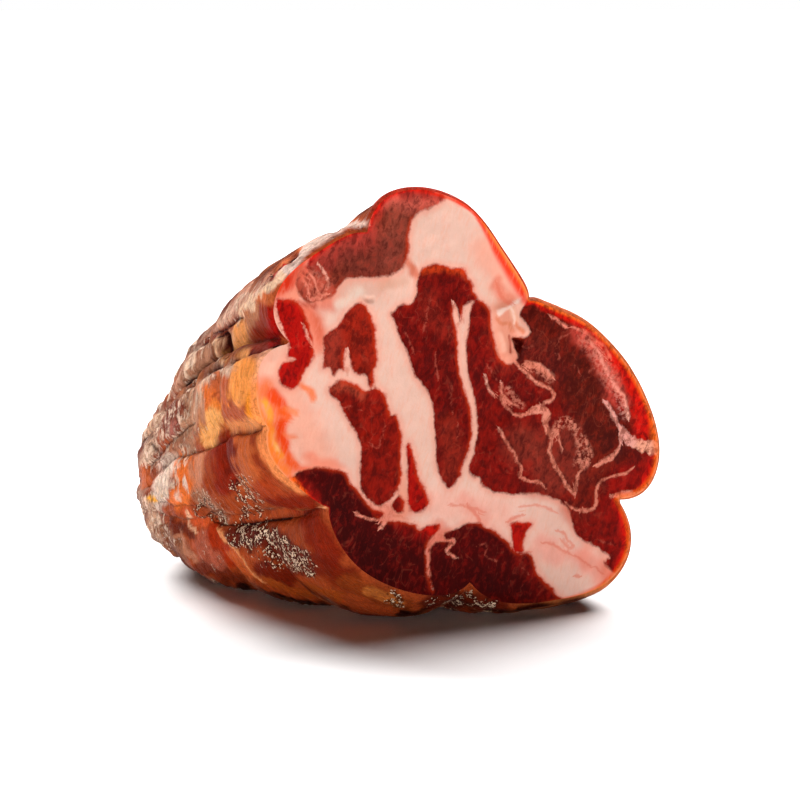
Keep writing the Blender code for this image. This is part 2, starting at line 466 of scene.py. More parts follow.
# %% Draw the seams
SEAMS = {
    "under_left_middle": (0.45, [
        (359, 489), (366, 499), (374, 506), (384, 507), (391, 502), (401, 486),
    ]),
    "under_lens": (0.40, [(356, 513), (364, 517), (374, 520), (384, 518), (390, 511)]),
    "cross": (0.9, [(381, 527), (385, 521), (389, 514), (391, 509)]),
    "chip_left": (0.35, [(391, 512), (397, 516), (404, 518), (412, 520)]),
    "island_notch": (0.8, [(347, 352), (347, 362), (348, 374)]),
    "middle_fork": (0.55, [(453, 303), (455, 312), (457, 322), (461, 330)]),
    "middle_fork_right": (0.5, [(466, 311), (464, 319), (462, 328)]),
    "bottom_split": (0.45, [(436, 536), (430, 543), (427, 550), (427, 560), (428, 572)]),
    "bottom_hook": (0.55, [(438, 536), (446, 540), (454, 541), (449, 548), (447, 552), (455, 557)]),
    "loop": (0.5, [
        (510, 357), (516, 363), (526, 373), (537, 382), (548, 387), (554, 393), (551, 400), (542, 405),
    ]),
    "loop_patch": (1.1, [(526, 364), (538, 366), (545, 372), (552, 377)]),
    "hook": (0.45, [(501, 384), (503, 400), (511, 411), (519, 416), (528, 413)]),
    "hook_far": (0.35, [(503, 394), (509, 402), (516, 405)]),
    "left_thread": (0.35, [(485, 377), (489, 388), (494, 396)]),
    "knot": (1.35, [(530, 411), (538, 409), (545, 411), (547, 418)]),
    "knot_tail": (0.9, [(545, 416), (547, 426), (551, 438)]),
    "shield_left": (0.6, [(553, 436), (550, 448), (552, 460), (558, 471), (566, 483), (573, 494)]),
    "shield_right": (0.4, [(588, 462), (584, 468), (578, 478), (575, 495)]),
    "shield_hair": (0.25, [(559, 434), (561, 442), (562, 451)]),
    "pale_left": (0.45, [(499, 429), (506, 440), (511, 449), (516, 458)]),
    "curl": (0.45, [(516, 461), (521, 467), (519, 476), (526, 480), (538, 482), (544, 487)]),
    "low_right": (0.45, [
        (620, 475), (611, 477), (602, 481), (597, 489), (596, 503), (591, 510), (583, 511),
    ]),
    "low_right_far": (0.3, [(633, 468), (627, 473), (620, 475)]),
    "lobe_seam": (0.7, [(621, 438), (618, 450), (612, 458), (604, 461), (597, 465)]),
    "foot": (0.3, [(566, 503), (572, 508), (580, 510)]),
    "rim_fat": (1.0, [(606, 403), (611, 411), (616, 420), (620, 430)]),
    "rim_fat_low": (2.0, [(621, 432), (628, 439), (638, 445), (650, 449)]),
    "rim_fat_end": (2.5, [(648, 448), (664, 448)]),
    "rim_streak": (0.6, [(611, 380), (617, 388), (623, 396), (626, 408), (628, 418)]),
    "rim_streak_top": (0.5, [(590, 342), (598, 352), (603, 364), (608, 374)]),
    "rim_streak_high": (0.45, [(585, 332), (595, 340), (604, 346), (610, 357)]),
    "edge_streak": (0.45, [(550, 316), (558, 321), (566, 326)]),
    "edge_streak_low": (0.4, [(572, 328), (579, 329), (584, 331)]),
    "notch_fat": (0.9, [(613, 496), (622, 494), (632, 493)]),
    "top_swirl": (0.4, [(300, 268), (308, 272), (314, 280), (316, 289), (320, 295), (327, 294)]),
    "top_swirl_left": (0.35, [(301, 276), (306, 284), (309, 294)]),
    "top_swirl_right": (0.25, [(319, 265), (326, 274), (329, 284)]),
    "top_oval": (0.8, [(313, 299), (319, 298)]),
    "strip_edge": (0.35, [(275, 300), (276, 312), (279, 324), (284, 335), (289, 345)]),
    "strip_streak": (0.35, [(303, 325), (308, 335), (312, 345)]),
}
print(len(SEAMS), "seams")

# %% [markdown]
# The finest veins are too thin to cut the lean through. They only tint it, or the fat they run in.
# Where fat and lean are mixed finely, round the island and under the right rim, fat lies over the
# lean like lace: wide strokes, with holes that the material makes.

# %% Draw the veins
VEIN_HALF_WIDTH = 0.3
VEINS = [
    [(371, 444), (378, 448), (383, 436), (385, 427)], [(346, 408), (353, 407), (361, 410)],
    [(430, 300), (427, 315), (424, 330)], [(405, 332), (410, 342), (414, 352)],
    [(452, 385), (451, 400), (453, 412)], [(436, 355), (436, 368), (438, 378)],
    [(458, 425), (458, 438)], [(486, 365), (492, 371), (497, 379)],
    [(556, 352), (560, 357), (557, 362)], [(583, 379), (589, 372), (593, 369)],
    [(576, 366), (579, 372)], [(516, 342), (524, 347), (531, 346)],
    [(556, 345), (560, 338), (568, 334)], [(520, 566), (524, 571), (527, 573)],
    [(486, 556), (493, 560), (499, 563)], [(478, 546), (487, 544), (486, 553)],
    [(600, 540), (608, 543), (614, 545)], [(428, 566), (428, 576), (431, 582)],
]
FAT_VEINS = [
    (0.35, [(508, 521), (515, 517), (522, 515)]),
    (0.35, [(543, 542), (550, 543), (556, 547), (568, 553)]),
    (0.30, [(557, 531), (562, 533), (567, 539), (572, 546), (566, 547), (561, 541)]),
    (0.55, [(576, 576), (578, 576)]),
    (0.25, [(574, 556), (582, 560), (590, 566)]),
    (0.30, [(596, 567), (602, 573)]),
    (0.20, [(450, 505), (466, 506), (484, 512)]), (0.20, [(520, 506), (538, 506), (556, 512)]),
    (0.45, [(497, 284), (500, 293), (504, 300), (511, 303)]),
    (0.60, [(468, 506), (474, 512), (480, 520)]),
    (0.30, [(512, 553), (520, 553), (529, 552)]),
]
LACE = [
    (1.3, 0.85, [(556, 431), (561, 424), (568, 422), (577, 431), (584, 442), (589, 455), (585, 465)]),
    (1.2, 0.80, [(580, 440), (581, 452), (578, 462)]),
    (2.6, 0.45, [(586, 338), (598, 352), (605, 366), (612, 380)]),
    (1.5, 0.45, [(614, 388), (620, 400), (624, 414)]),
    (1.4, 0.55, [(528, 366), (540, 370), (550, 378)]),
    (2.4, 0.35, [(306, 276), (316, 284), (324, 292)]),
    (1.0, 0.60, [(508, 390), (516, 400), (522, 406)]),
]
print(len(VEINS) + len(FAT_VEINS), "veins and", len(LACE), "patches of lace")

# %% [markdown]
# Every outline becomes a distance field on the cut. The lean is the highest of the muscles' fields,
# and the material lets the seams of fat through it. The same loop finds which muscle is nearest,
# for its own tone, and which way its edge faces: light comes through the edges on the right and the
# top, and the material paints a glow on those.

# %% Turn the drawings into distance fields
LIGHT_SIDE = np.array([0.9, 0.45])
flat = np.vstack([skin[0], cut.reshape(-1, 3), CUT_CENTRE[None]])
places = flat[:, [0, 2]]
from_rim, _, _ = away_from_path(places, skin[0][:, [0, 2]], closed=True)
around = np.degrees(np.arctan2(places[:, 1] - CUT_CENTRE[2], places[:, 0] - CUT_CENTRE[0])) % 360

lean = np.full(len(places), -np.inf)
muscle_of = np.zeros(len(places), int)
faces_light = np.zeros(len(places))
for number, outline in enumerate(MUSCLES.values()):
    depth, inward = signed_distance(places, cut_point_of(smooth_path(outline, True)))
    deeper = depth > lean
    lean[deeper] = depth[deeper]
    muscle_of[deeper] = number
    faces_light[deeper] = -(inward @ LIGHT_SIDE)[deeper]
glow = step(0.1, 0.9, faces_light)

hairs = [(VEIN_HALF_WIDTH, pixels) for pixels in VEINS]
seam_across, seam_gap, seam_width = nearest_stroke(places, SEAMS.values(), cut_point_of)
hair_across, hair_gap, _ = nearest_stroke(places, hairs, cut_point_of)
flush_across, flush_gap, flush_width = nearest_stroke(places, FAT_VEINS, cut_point_of)
lace = densest(places, LACE, cut_point_of)
print("lean is", round(100 * float((lean > 0).mean())), "% of the cut's points")


# %% [markdown]
# ## Colours of the cut
#
# Colours are written as they look in the photo, from 0 to 255, and turned into the linear numbers
# that the renderer uses. White paper in this light would be brighter than white, so the meat
# reflects a little less than its colour in the photo. A tone is spread over the grid as a colour
# attribute, one for the lean and one for the fat, and the material picks between them by the
# distance field.

# %% Define colours and how to lay one over another
REFLECTED = 0.8
WAVES = 28


def linear(red, green, blue):
    """Linear light of a screen colour: ((c + 0.055) / 1.055) ^ 2.4, or c / 12.92 near black."""
    c = np.array([red, green, blue]) / 255
    return REFLECTED * np.where(c > 0.04045, ((c + 0.055) / 1.055) ** 2.4, c / 12.92)


def paint(tint, colour, amount):
    """tint moved towards colour by amount, a number for each point."""
    return tint + (linear(*colour) - tint) * np.clip(amount, 0, 1)[:, None]


def painted_over(tint, points, to_plane, strokes, soft):
    """A tint with strokes laid over it in turn: full at a stroke's middle, gone at 1 + soft times
    its half width."""
    for half_width, colour, strength, pixels in strokes:
        gap = from_stroke(points, pixels, to_plane)
        tint = paint(tint, colour, strength * step(1 + soft, 1 - soft, gap / half_width))
    return tint


def ripples(where, size, seed):
    """Smooth random height, mostly between -1 and 1: the sum of sine waves of about that size, all
    ways, over the root of their number."""
    draw = np.random.default_rng(seed)
    waves = draw.normal(size=(WAVES, where.shape[-1])) / np.asarray(size)
    phases = draw.uniform(0, 2 * np.pi, WAVES)
    total = np.zeros(where.shape[:-1])
    for wave, phase in zip(waves, phases):
        total = total + np.sin(where @ wave * 2 + phase)
    return total / np.sqrt(WAVES)


def wavering(points, where, size, seeds, reach):
    """Points of a plane pushed about by reach * ripples, with one seed for each axis."""
    push = np.stack([ripples(where, size, seed) for seed in seeds], axis=-1)
    return points + reach * push


# %% [markdown]
# Each muscle has a tone of its own. Over the tones go strokes: a half width in millimetres, a
# colour, a strength, and the pixels that the stroke passes through. Lean is browner in places and
# nearly black in others, most of all towards the bottom, and the grey-brown of the top muscle is
# partly its own tone and partly a painted sheen. Fat is pink beside lean, and orange where the
# light comes through it, which is a painted glow.

# %% Name the tones of the cut and its strokes
LEAN_TONES = {
    # the grey-brown of the top muscle is partly its own tone and partly a painted sheen
    "top": (132, 49, 32), "red_strip": (178, 10, 4), "island": (148, 28, 10),
    "left_middle": (132, 16, 4), "splinter": (168, 12, 3), "chip": (140, 14, 4),
    "lens": (144, 14, 5), "middle": (114, 8, 3), "right_mass": (124, 12, 4),
    "flag": (184, 14, 4), "bottom_left": (74, 1, 1), "bottom_right": (82, 1, 1),
}
LEAN_STROKES = [
    (9, (86, 18, 6), 0.85, [(545, 325), (572, 350), (588, 380), (600, 420), (606, 448)]),
    (5, (84, 20, 8), 0.6, [(575, 372), (588, 400), (600, 436)]),
    (4, (128, 44, 30), 0.7, [(520, 350), (535, 352), (545, 372)]),
    (5, (134, 48, 34), 0.7, [(520, 445), (545, 452), (552, 480)]),
    (4, (122, 40, 28), 0.8, [(570, 438), (576, 455), (572, 475)]),
    (4, (118, 28, 14), 0.7, [(600, 472), (585, 490), (580, 505)]),
    (1.6, (196, 22, 10), 0.95, [(306, 266), (315, 252), (332, 239), (352, 231), (368, 228)]),
    (3.0, (176, 58, 50), 0.6, [(322, 262), (338, 250), (356, 242), (370, 236)]),
    (2.4, (196, 50, 38), 0.9, [(374, 210), (384, 200), (396, 195)]),
    (2.2, (214, 92, 76), 0.9, [(390, 200), (408, 200), (428, 200), (444, 199)]),
    (1.6, (150, 24, 18), 0.8, [(404, 190), (425, 191), (450, 197)]),
    (3.6, (150, 70, 54), 0.6, [(400, 215), (396, 240), (392, 262)]),
    (3.6, (112, 44, 34), 0.6, [(352, 262), (372, 262), (388, 252)]),
    (3.0, (198, 84, 64), 0.7, [(304, 280), (314, 286), (324, 292)]),
    (2.0, (168, 62, 40), 0.8, [(338, 386), (350, 386), (362, 392)]),
    (2.6, (160, 60, 44), 0.5, [(334, 340), (330, 352), (330, 364)]),
    (1.2, (204, 60, 16), 0.8, [(424, 270), (440, 268), (464, 271)]),
    (2.6, (150, 44, 28), 0.3, [(430, 300), (434, 316), (446, 330)]),
    (2.6, (98, 8, 3), 0.7, [(440, 352), (444, 372), (452, 390)]),
    (3.0, (150, 44, 26), 0.5, [(448, 425), (452, 448), (450, 470)]),
    (2.2, (96, 8, 4), 0.7, [(500, 372), (515, 384), (528, 394)]),
    (2.0, (150, 34, 20), 0.6, [(490, 330), (500, 350), (508, 366)]),
    (2.0, (120, 6, 3), 0.6, [(478, 330), (480, 360), (482, 400)]),
    (3.4, (150, 10, 4), 0.8, [(618, 480), (640, 474), (656, 470)]),
    (3.4, (142, 10, 4), 0.6, [(610, 505), (618, 530), (610, 556)]),
    (3.0, (198, 66, 52), 0.85, [(580, 330), (598, 348), (610, 372), (616, 396)]),
    (2.0, (214, 96, 80), 0.6, [(590, 338), (604, 356), (614, 380), (624, 402)]),
    (2.2, (186, 24, 10), 0.8, [(604, 342), (622, 364), (634, 392), (640, 420), (640, 436)]),
    (1.6, (206, 20, 6), 0.9, [(426, 530), (438, 526)]),
    (2.0, (150, 12, 5), 0.6, [(398, 524), (412, 530), (424, 536)]),
    (1.6, (150, 14, 5), 0.8, [(300, 484), (312, 494), (322, 506)]),
    (4.0, (54, 1, 1), 0.7, [(330, 510), (350, 540), (390, 575)]),
    (4.0, (60, 1, 1), 0.6, [(450, 575), (490, 585), (520, 590)]),
    (2.0, (120, 10, 3), 0.7, [(520, 560), (534, 580), (550, 598)]),
    # painted shade: near-black in the fold's hollow, this stroke and the next
    (1.3, (34, 1, 1), 1.0, [(515, 339), (517, 349), (518, 356)]),
    (0.9, (66, 4, 2), 0.9, [(519, 340), (525, 345)]),
    (3.0, (92, 12, 6), 0.7, [(528, 350), (545, 360), (560, 372)]),
    (2.0, (206, 12, 3), 0.9, [(634, 388), (641, 404), (643, 422), (640, 436)]),
    (1.4, (150, 10, 4), 0.8, [(617, 396), (622, 408)]),
]
FAT_STROKES = [
    # paler fat low on the cut: painted light, making up for the floor's shadow in front of the cut
    (7.0, (255, 208, 190), 0.8, [(440, 508), (500, 512), (545, 530), (575, 560), (590, 580)]),
    (5.0, (252, 170, 142), 0.7, [(268, 362), (286, 400), (310, 440), (318, 460)]),
    (2.0, (252, 190, 166), 0.6, [(275, 352), (272, 372)]),
    # orange and yellow along the left rim, this stroke and the nine below it: partly the fat's own tone,
    # partly painted glow of light through the thin edge
    (2.2, (246, 104, 34), 0.85, [(264, 388), (272, 408), (276, 428), (281, 450), (290, 468)]),
    (1.3, (244, 70, 6), 0.95, [(272, 394), (279, 402), (284, 413)]),
    (1.0, (250, 96, 26), 0.85, [(281, 412), (287, 418), (280, 426)]),
    (1.5, (240, 66, 4), 0.95, [(279, 426), (284, 440), (283, 450)]),
    (1.1, (246, 84, 20), 0.9, [(284, 452), (291, 462), (302, 470), (316, 472)]),
    (0.7, (250, 130, 74), 0.8, [(286, 410), (296, 414)]),
    (0.6, (250, 120, 70), 0.7, [(286, 432), (296, 438)]),
    (0.8, (253, 168, 52), 0.9, [(264, 400), (269, 414), (268, 424)]),
    (0.9, (250, 140, 30), 0.9, [(271, 430), (273, 446), (279, 458)]),
    (0.5, (255, 206, 120), 0.8, [(268, 426), (272, 440), (276, 452)]),
    (0.8, (250, 110, 30), 0.8, [(302, 384), (308, 390), (313, 400)]),
    (1.6, (250, 110, 70), 0.5, [(310, 458), (322, 464), (336, 466)]),
    (2.4, (232, 112, 82), 0.8, [(306, 312), (315, 328), (318, 344)]),
    (1.4, (228, 96, 64), 0.7, [(304, 308), (314, 322), (319, 336)]),
    (1.8, (232, 110, 84), 0.8, [(286, 290), (296, 284), (302, 280)]),
    (3.0, (222, 104, 82), 0.85, [(302, 274), (312, 284), (324, 296)]),
    (1.2, (238, 172, 150), 0.8, [(290, 296), (296, 292)]),
    (2.0, (226, 120, 96), 0.7, [(320, 304), (330, 306), (340, 302)]),
    (3.4, (222, 168, 148), 0.7, [(345, 290), (362, 285), (378, 286)]),
    (1.6, (236, 214, 196), 0.7, [(338, 304), (348, 300), (358, 293)]),
    (1.4, (206, 136, 100), 0.35, [(382, 286), (392, 284), (403, 280)]),
    (1.0, (212, 90, 50), 0.8, [(406, 264), (411, 268), (416, 274)]),
    (4.0, (252, 168, 142), 0.7, [(485, 250), (500, 275), (510, 292)]),
    (1.6, (236, 104, 72), 0.6, [(497, 285), (502, 295), (510, 301)]),
    (3.2, (228, 142, 114), 0.9, [(502, 312), (505, 330), (507, 352)]),
    # painted shade under the top edge of the fold's tongue
    (0.7, (216, 118, 80), 0.7, [(496, 318), (501, 322), (508, 323), (512, 329)]),
    (0.9, (242, 178, 154), 0.9, [(498, 334), (502, 350)]),
    # painted highlight on the fold's tongue
    (0.8, (244, 184, 156), 0.9, [(511, 310), (515, 317)]),
    (0.6, (222, 110, 60), 0.75, [(514, 320), (517, 325), (521, 331)]),
    (0.6, (244, 188, 168), 0.9, [(523, 319), (527, 328), (525, 335)]),
    # painted shade in the groove of the fold's tongue
    (0.35, (150, 30, 16), 0.9, [(509, 335), (510, 345), (509, 353)]),
    # painted highlights along the top edge of the fold's tongue, this stroke and the next
    (0.45, (252, 216, 200), 0.9, [(496, 314), (501, 310), (509, 307), (517, 302), (526, 297)]),
    (0.35, (250, 206, 186), 0.8, [(510, 309), (513, 314), (513, 322)]),
    (1.3, (216, 28, 8), 0.95, [(285, 288), (291, 280), (299, 275)]),
    (0.8, (252, 130, 46), 0.9, [(279, 296), (281, 290)]),
    (0.9, (232, 116, 92), 0.9, [(289, 297), (296, 290), (302, 284)]),
    (0.5, (168, 28, 14), 0.9, [(297, 300), (305, 302), (314, 306)]),
    (0.4, (186, 46, 30), 0.85, [(303, 290), (310, 297), (317, 301)]),
    (0.4, (190, 56, 40), 0.8, [(299, 279), (308, 284), (316, 292)]),
    (2.0, (214, 50, 20), 0.9, [(279, 293), (284, 284), (294, 277), (304, 272)]),
    (1.2, (236, 146, 118), 0.8, [(289, 295), (295, 291)]),
    # paler fat low on the cut: painted light, making up for the floor's shadow in front of the cut
    (4.0, (254, 178, 158), 0.6, [(440, 505), (470, 508), (500, 512)]),
    (2.0, (244, 146, 124), 0.4, [(464, 500), (474, 510), (484, 520)]),
    (5.0, (236, 184, 166), 0.6, [(540, 508), (560, 520), (572, 540)]),
    (3.0, (250, 152, 132), 0.6, [(540, 545), (560, 556), (580, 562)]),
    (3.0, (250, 146, 124), 0.7, [(584, 556), (600, 572), (604, 584)]),
    (2.0, (246, 120, 92), 0.7, [(606, 566), (612, 576)]),
    (3.0, (244, 196, 178), 0.8, [(568, 572), (580, 590)]),
    (3.5, (214, 116, 92), 0.9, [(524, 362), (545, 378), (552, 396), (540, 404)]),
    (2.0, (232, 160, 140), 0.9, [(532, 412), (540, 408), (548, 406)]),
    (3.5, (206, 104, 82), 0.9, [(503, 395), (520, 412), (510, 445), (520, 470), (538, 482)]),
    (6.0, (212, 120, 96), 0.9, [(552, 440), (560, 425), (578, 432), (586, 455), (574, 480), (556, 462)]),
    (4.0, (206, 108, 86), 0.9, [(625, 472), (600, 486), (592, 508), (575, 508)]),
    (3.0, (214, 124, 104), 0.85, [(616, 440), (616, 456), (602, 462)]),
    (4.0, (232, 108, 92), 0.85, [(560, 318), (585, 336), (606, 360), (616, 392)]),
    (1.2, (242, 156, 142), 0.8, [(596, 352), (606, 366), (614, 386), (622, 402)]),
    (2.6, (236, 176, 168), 0.9, [(606, 403), (614, 418), (622, 434), (632, 442)]),
    (2.6, (252, 184, 150), 0.9, [(642, 447), (664, 448)]),
    (3.0, (232, 128, 106), 0.85, [(360, 512), (380, 518), (400, 512)]),
    (3.0, (226, 110, 90), 0.9, [(438, 536), (430, 552), (430, 575)]),
    (2.0, (228, 116, 94), 0.9, [(448, 540), (453, 550)]),
    (1.6, (240, 160, 132), 0.7, [(400, 478), (406, 500), (402, 514)]),
]
print(len(LEAN_STROKES), "strokes on the lean,", len(FAT_STROKES), "on the fat")

# %% [markdown]
# The strokes are laid on places that waver a little, so that their edges look grown, not drawn.

# %% Paint the lean and the fat
CUT_SOFT = 0.65
CUT_WAVER = 0.45
FAT_TONE = (239, 192, 173)
brushed_places = wavering(places, places, 2.6, (61, 62), CUT_WAVER)
lean_tint = np.array([linear(*LEAN_TONES[name]) for name in MUSCLES])[muscle_of]
lean_tint = painted_over(lean_tint, brushed_places, cut_point_of, LEAN_STROKES, CUT_SOFT)
fat_tint = np.repeat(linear(*FAT_TONE)[None], len(places), axis=0)
fat_tint = painted_over(fat_tint, brushed_places, cut_point_of, FAT_STROKES, CUT_SOFT)
print("mean tones:", lean_tint.mean(axis=0).round(3), "lean,", fat_tint.mean(axis=0).round(3), "fat")

# %% [markdown]
# ## The glowing rim
#
# The casing and the outermost meat are thin, and the light behind the piece shines through them.
# That glow is painted into the cut's colours: a red band, an orange line in it, and a pale one at
# the very edge where the orange is deep. How deep each goes changes round the rim, so there are two
# short tables of angle and depth in millimetres, and the distance from the rim does the rest.

# %% Lay the rim's painted glow over the tones
RIM_RED = [
    (0, 3.6), (8, 3.4), (16, 2.6), (26, 1.9), (38, 1.7), (48, 1.6), (54, 0.8), (58, 2.0), (64, 2.8),
    (72, 2.8), (79, 2.4), (85, 1.4), (89, 0.5), (93, 0.9), (100, 0.7), (108, 0.5), (116, 0.8),
    (122, 0.3), (128, 0.5), (137, 0.6), (144, 0.4), (150, 0.3), (158, 0.1), (170, 0.0), (178, 0.2),
    (184, 0.9), (192, 1.4), (198, 1.2), (204, 0.4), (215, 0.2), (230, 0.15), (240, 0.0), (290, 0.0),
    (300, 0.5), (308, 0.8), (314, 2.0), (320, 2.8), (326, 1.8), (331, 1.6), (336, 2.8), (341, 2.6),
    (343.5, 0.5), (347, 0.4), (350, 2.2), (355, 3.4),
]
RIM_ORANGE = [
    (0, 0.9), (10, 0.8), (25, 0.6), (40, 0.6), (50, 0.5), (55, 0.3), (60, 0.7), (66, 0.8), (74, 0.8),
    (82, 0.6), (88, 0.1), (110, 0.0), (165, 0.0), (172, 0.6), (178, 1.2), (186, 2.0), (194, 1.8),
    (200, 0.7), (205, 0.1), (290, 0.1), (300, 0.3), (310, 0.7), (318, 1.0), (326, 1.1), (330, 1.3),
    (336, 1.1), (342, 1.2), (346, 2.0), (352, 1.0),
]


def rim_reach(table, angle):
    """Depth of a rim colour at an angle, straight between the table's values."""
    return np.interp(angle, *np.array(table).T, period=360)


def rim_glow_band(table, soft):
    """1 at the rim and 0 past the table's depth at that angle, or where that depth is near 0."""
    reach = rim_reach(table, around)
    held = np.maximum(reach, 0.02)
    return step(held * (1 + soft), held * (1 - soft), from_rim) * step(0.1, 0.5, reach)


red_glow = rim_glow_band(RIM_RED, 0.38)
orange_glow = rim_glow_band(RIM_ORANGE, 0.6)
pale_glow = step(0.45, 0.15, from_rim) * step(0.5, 0.8, rim_reach(RIM_ORANGE, around))
# painted glow of light through the rim, laid over the lean and the fat
for band, on_lean, lean_share, on_fat, fat_share in [
    (red_glow, (222, 18, 4), 0.92, (250, 52, 12), 0.95),
    (orange_glow, (250, 104, 22), 0.9, (253, 128, 40), 0.9),
    (pale_glow, (253, 172, 116), 0.5, (254, 190, 136), 0.4),
]:
    lean_tint = paint(lean_tint, on_lean, lean_share * band)
    fat_tint = paint(fat_tint, on_fat, fat_share * band)
print("the rim is red for up to", max(depth for _, depth in RIM_RED), "mm")

# %% [markdown]
# ## The relief of the cut
#
# A knife leaves fat a little proud and lean a little sunken, and the piece opens by a fold at the
# top of the right lobe, where a tongue of fat stands out over a hollow; the dark in the hollow is
# painted shade. All of it is pushed along the cut's normal and fades out at the rim.

# %% Carve the cut
FAT_PROUD = 0.2
TONGUE_HEIGHT = 0.55
HOLLOW_DEPTH = 3.2
PIN_DEPTH = 1.2
RIPPLE_HEIGHT = 0.10
SWELL_HEIGHT = 0.22
RIM_FADE = 1.4
FOLD_TONGUE = [
    (493, 311), (504, 303), (522, 299), (526, 303), (521, 309), (520, 317), (526, 324), (528, 332),
    (520, 337), (512, 334), (510, 345), (514, 353), (509, 360), (503, 358), (498, 345), (495, 330),
]
FOLD_HOLLOW = [
    (512, 337), (519, 338), (524, 342), (522, 350), (519, 357), (516, 351), (514, 344),
]
PIN_HOLE = [(366, 299), (370, 300), (373, 299)]
tongue, _ = signed_distance(places, cut_point_of(smooth_path(FOLD_TONGUE, True)))
hollow, _ = signed_distance(places, cut_point_of(smooth_path(FOLD_HOLLOW, True)))
pin_gap = from_stroke(places, PIN_HOLE, cut_point_of)
cut_relief = FAT_PROUD * (step(0.5, -0.5, np.minimum(lean, seam_gap - seam_width)) - 0.5)
cut_relief = cut_relief + TONGUE_HEIGHT * step(-0.4, 1.6, tongue)
cut_relief = cut_relief - HOLLOW_DEPTH * step(-0.2, 1.2, hollow)
cut_relief = cut_relief - PIN_DEPTH * step(0.7, 0.0, pin_gap)
cut_relief = cut_relief + RIPPLE_HEIGHT * ripples(places, 3.0, 4)
cut_relief = cut_relief + SWELL_HEIGHT * ripples(places, 16.0, 5)
cut_relief = cut_relief * step(0.0, RIM_FADE, from_rim)
flat[:, 1] = flat[:, 1] - cut_relief
cut = flat[COLUMNS:-1].reshape(cut.shape)
centre_of_cut = flat[-1]
print("relief of the cut from", cut_relief.min().round(2), "to", cut_relief.max().round(2), "mm")

# %% [markdown]
# ## The relief of the skin
#
# The casing dried on the meat and wrinkled. Where strings ran it is creased deeply, and between
# them fine wrinkles go round the piece, more of them towards the dry, tied end. The creases that
# the photo shows are drawn as strokes, and everything else is sums of waves in the
# straightened body, where "round" and "along" are plain directions.

# %% Draw the creases and the raised threads of the skin
CREASES = {
    "deep": (2.0, 2.6, [
        (287, 349), (280, 346), (271, 346), (262, 347), (250, 351), (240, 355), (222, 363),
        (211, 367), (200, 374), (188, 384), (180, 390), (170, 398), (160, 408),
    ]),
    "middle": (0.8, 1.5, [
        (263, 427), (256, 430), (244, 432), (233, 433), (222, 439), (205, 447), (190, 452),
        (174, 456), (163, 464), (150, 479), (144, 486),
    ]),
    "middle_second": (0.8, 1.2, [(190, 425), (182, 432), (174, 439), (166, 445), (156, 458), (148, 468)]),
    "middle_third": (0.9, 0.9, [(153, 434), (147, 441), (141, 448)]),
    "middle_short": (0.9, 0.8, [(152, 444), (154, 451), (157, 456)]),
    "low": (1.9, 1.8, [(285, 517), (274, 519), (262, 522), (250, 524), (238, 525)]),
    "low_right": (0.8, 1.4, [(322, 510), (310, 512), (297, 515), (285, 517)]),
    "low_mid": (0.9, 1.0, [(238, 525), (222, 525), (214, 523)]),
    "low_left": (0.8, 0.8, [(217, 515), (209, 513), (202, 510)]),
    "low_far": (0.7, 0.6, [(197, 509), (183, 508), (170, 506), (160, 503)]),
    "layer": (1.0, 1.2, [
        (240, 318), (232, 322), (222, 328), (210, 335), (199, 343), (190, 351), (182, 360),
        (174, 370), (167, 380),
    ]),
    "layer_far": (0.8, 0.8, [(206, 331), (196, 340), (186, 351), (178, 361)]),
    "pit": (4.0, 2.2, [(222, 337), (224, 344), (226, 350)]),
    "pit_top": (3.0, 1.4, [(290, 259), (294, 255)]),
    "pit_top_low": (2.4, 1.2, [(272, 269), (278, 266)]),
    "pit_top_far": (1.8, 0.9, [(266, 282), (271, 279)]),
    "lobe": (0.5, 0.7, [(262, 431), (262, 445), (264, 460), (269, 475)]),
    "salt": (0.5, 0.5, [(236, 408), (248, 418), (258, 426)]),
}
RIDGES = {
    "band": (1.6, 0.8, [
        (366, 226), (350, 228), (335, 233), (320, 241), (306, 250), (293, 264), (280, 277),
        (266, 289), (252, 302), (242, 314), (237, 323),
    ]),
    "pit_left": (1.0, 0.6, [(214, 342), (217, 351), (222, 360)]),
    "pit_right": (0.9, 0.5, [(231, 332), (232, 343), (233, 352)]),
    "step_left": (1.2, 0.6, [(198, 347), (190, 357), (188, 367), (189, 376)]),
    "deep_lip": (1.4, 0.6, [
        (268, 352), (254, 356), (240, 361), (226, 369), (212, 376), (200, 384), (188, 394),
        (176, 404),
    ]),
    "diagonal": (1.2, 0.7, [
        (218, 528), (226, 535), (233, 543), (240, 552), (247, 563), (254, 574), (264, 581),
    ]),
    "middle_lip": (1.0, 0.3, [(255, 434), (240, 436), (226, 441), (208, 450), (192, 456)]),
    "flap": (1.6, 0.7, [(312, 509), (320, 507), (329, 505)]),
    "left_sinew": (1.0, 0.5, [(178, 452), (172, 463), (169, 475), (171, 489), (177, 502)]),
    "left_sinew_far": (1.0, 0.5, [(160, 462), (156, 475), (155, 490), (160, 502)]),
    "sinew_a": (0.9, 0.5, [(184, 455), (186, 468), (184, 480), (182, 494)]),
    "sinew_b": (0.9, 0.4, [(192, 456), (191, 470), (189, 485), (189, 500)]),
    "dry_a": (1.1, 0.7, [(176, 400), (166, 415), (160, 430), (157, 442)]),
    "dry_b": (0.9, 0.6, [(186, 400), (182, 412), (183, 424), (188, 440)]),
    "dry_c": (0.9, 0.6, [(158, 412), (150, 428), (145, 445)]),
    "low_a": (0.9, 0.5, [(172, 520), (182, 532), (190, 545), (200, 556)]),
    "low_b": (0.9, 0.4, [(160, 515), (166, 528), (175, 542), (186, 552)]),
    "top_a": (0.9, 0.5, [(262, 288), (250, 296), (238, 307), (228, 316)]),
    "top_b": (0.8, 0.4, [(252, 289), (242, 298), (232, 308), (222, 320)]),
}
print(len(CREASES), "creases and", len(RIDGES), "raised threads")

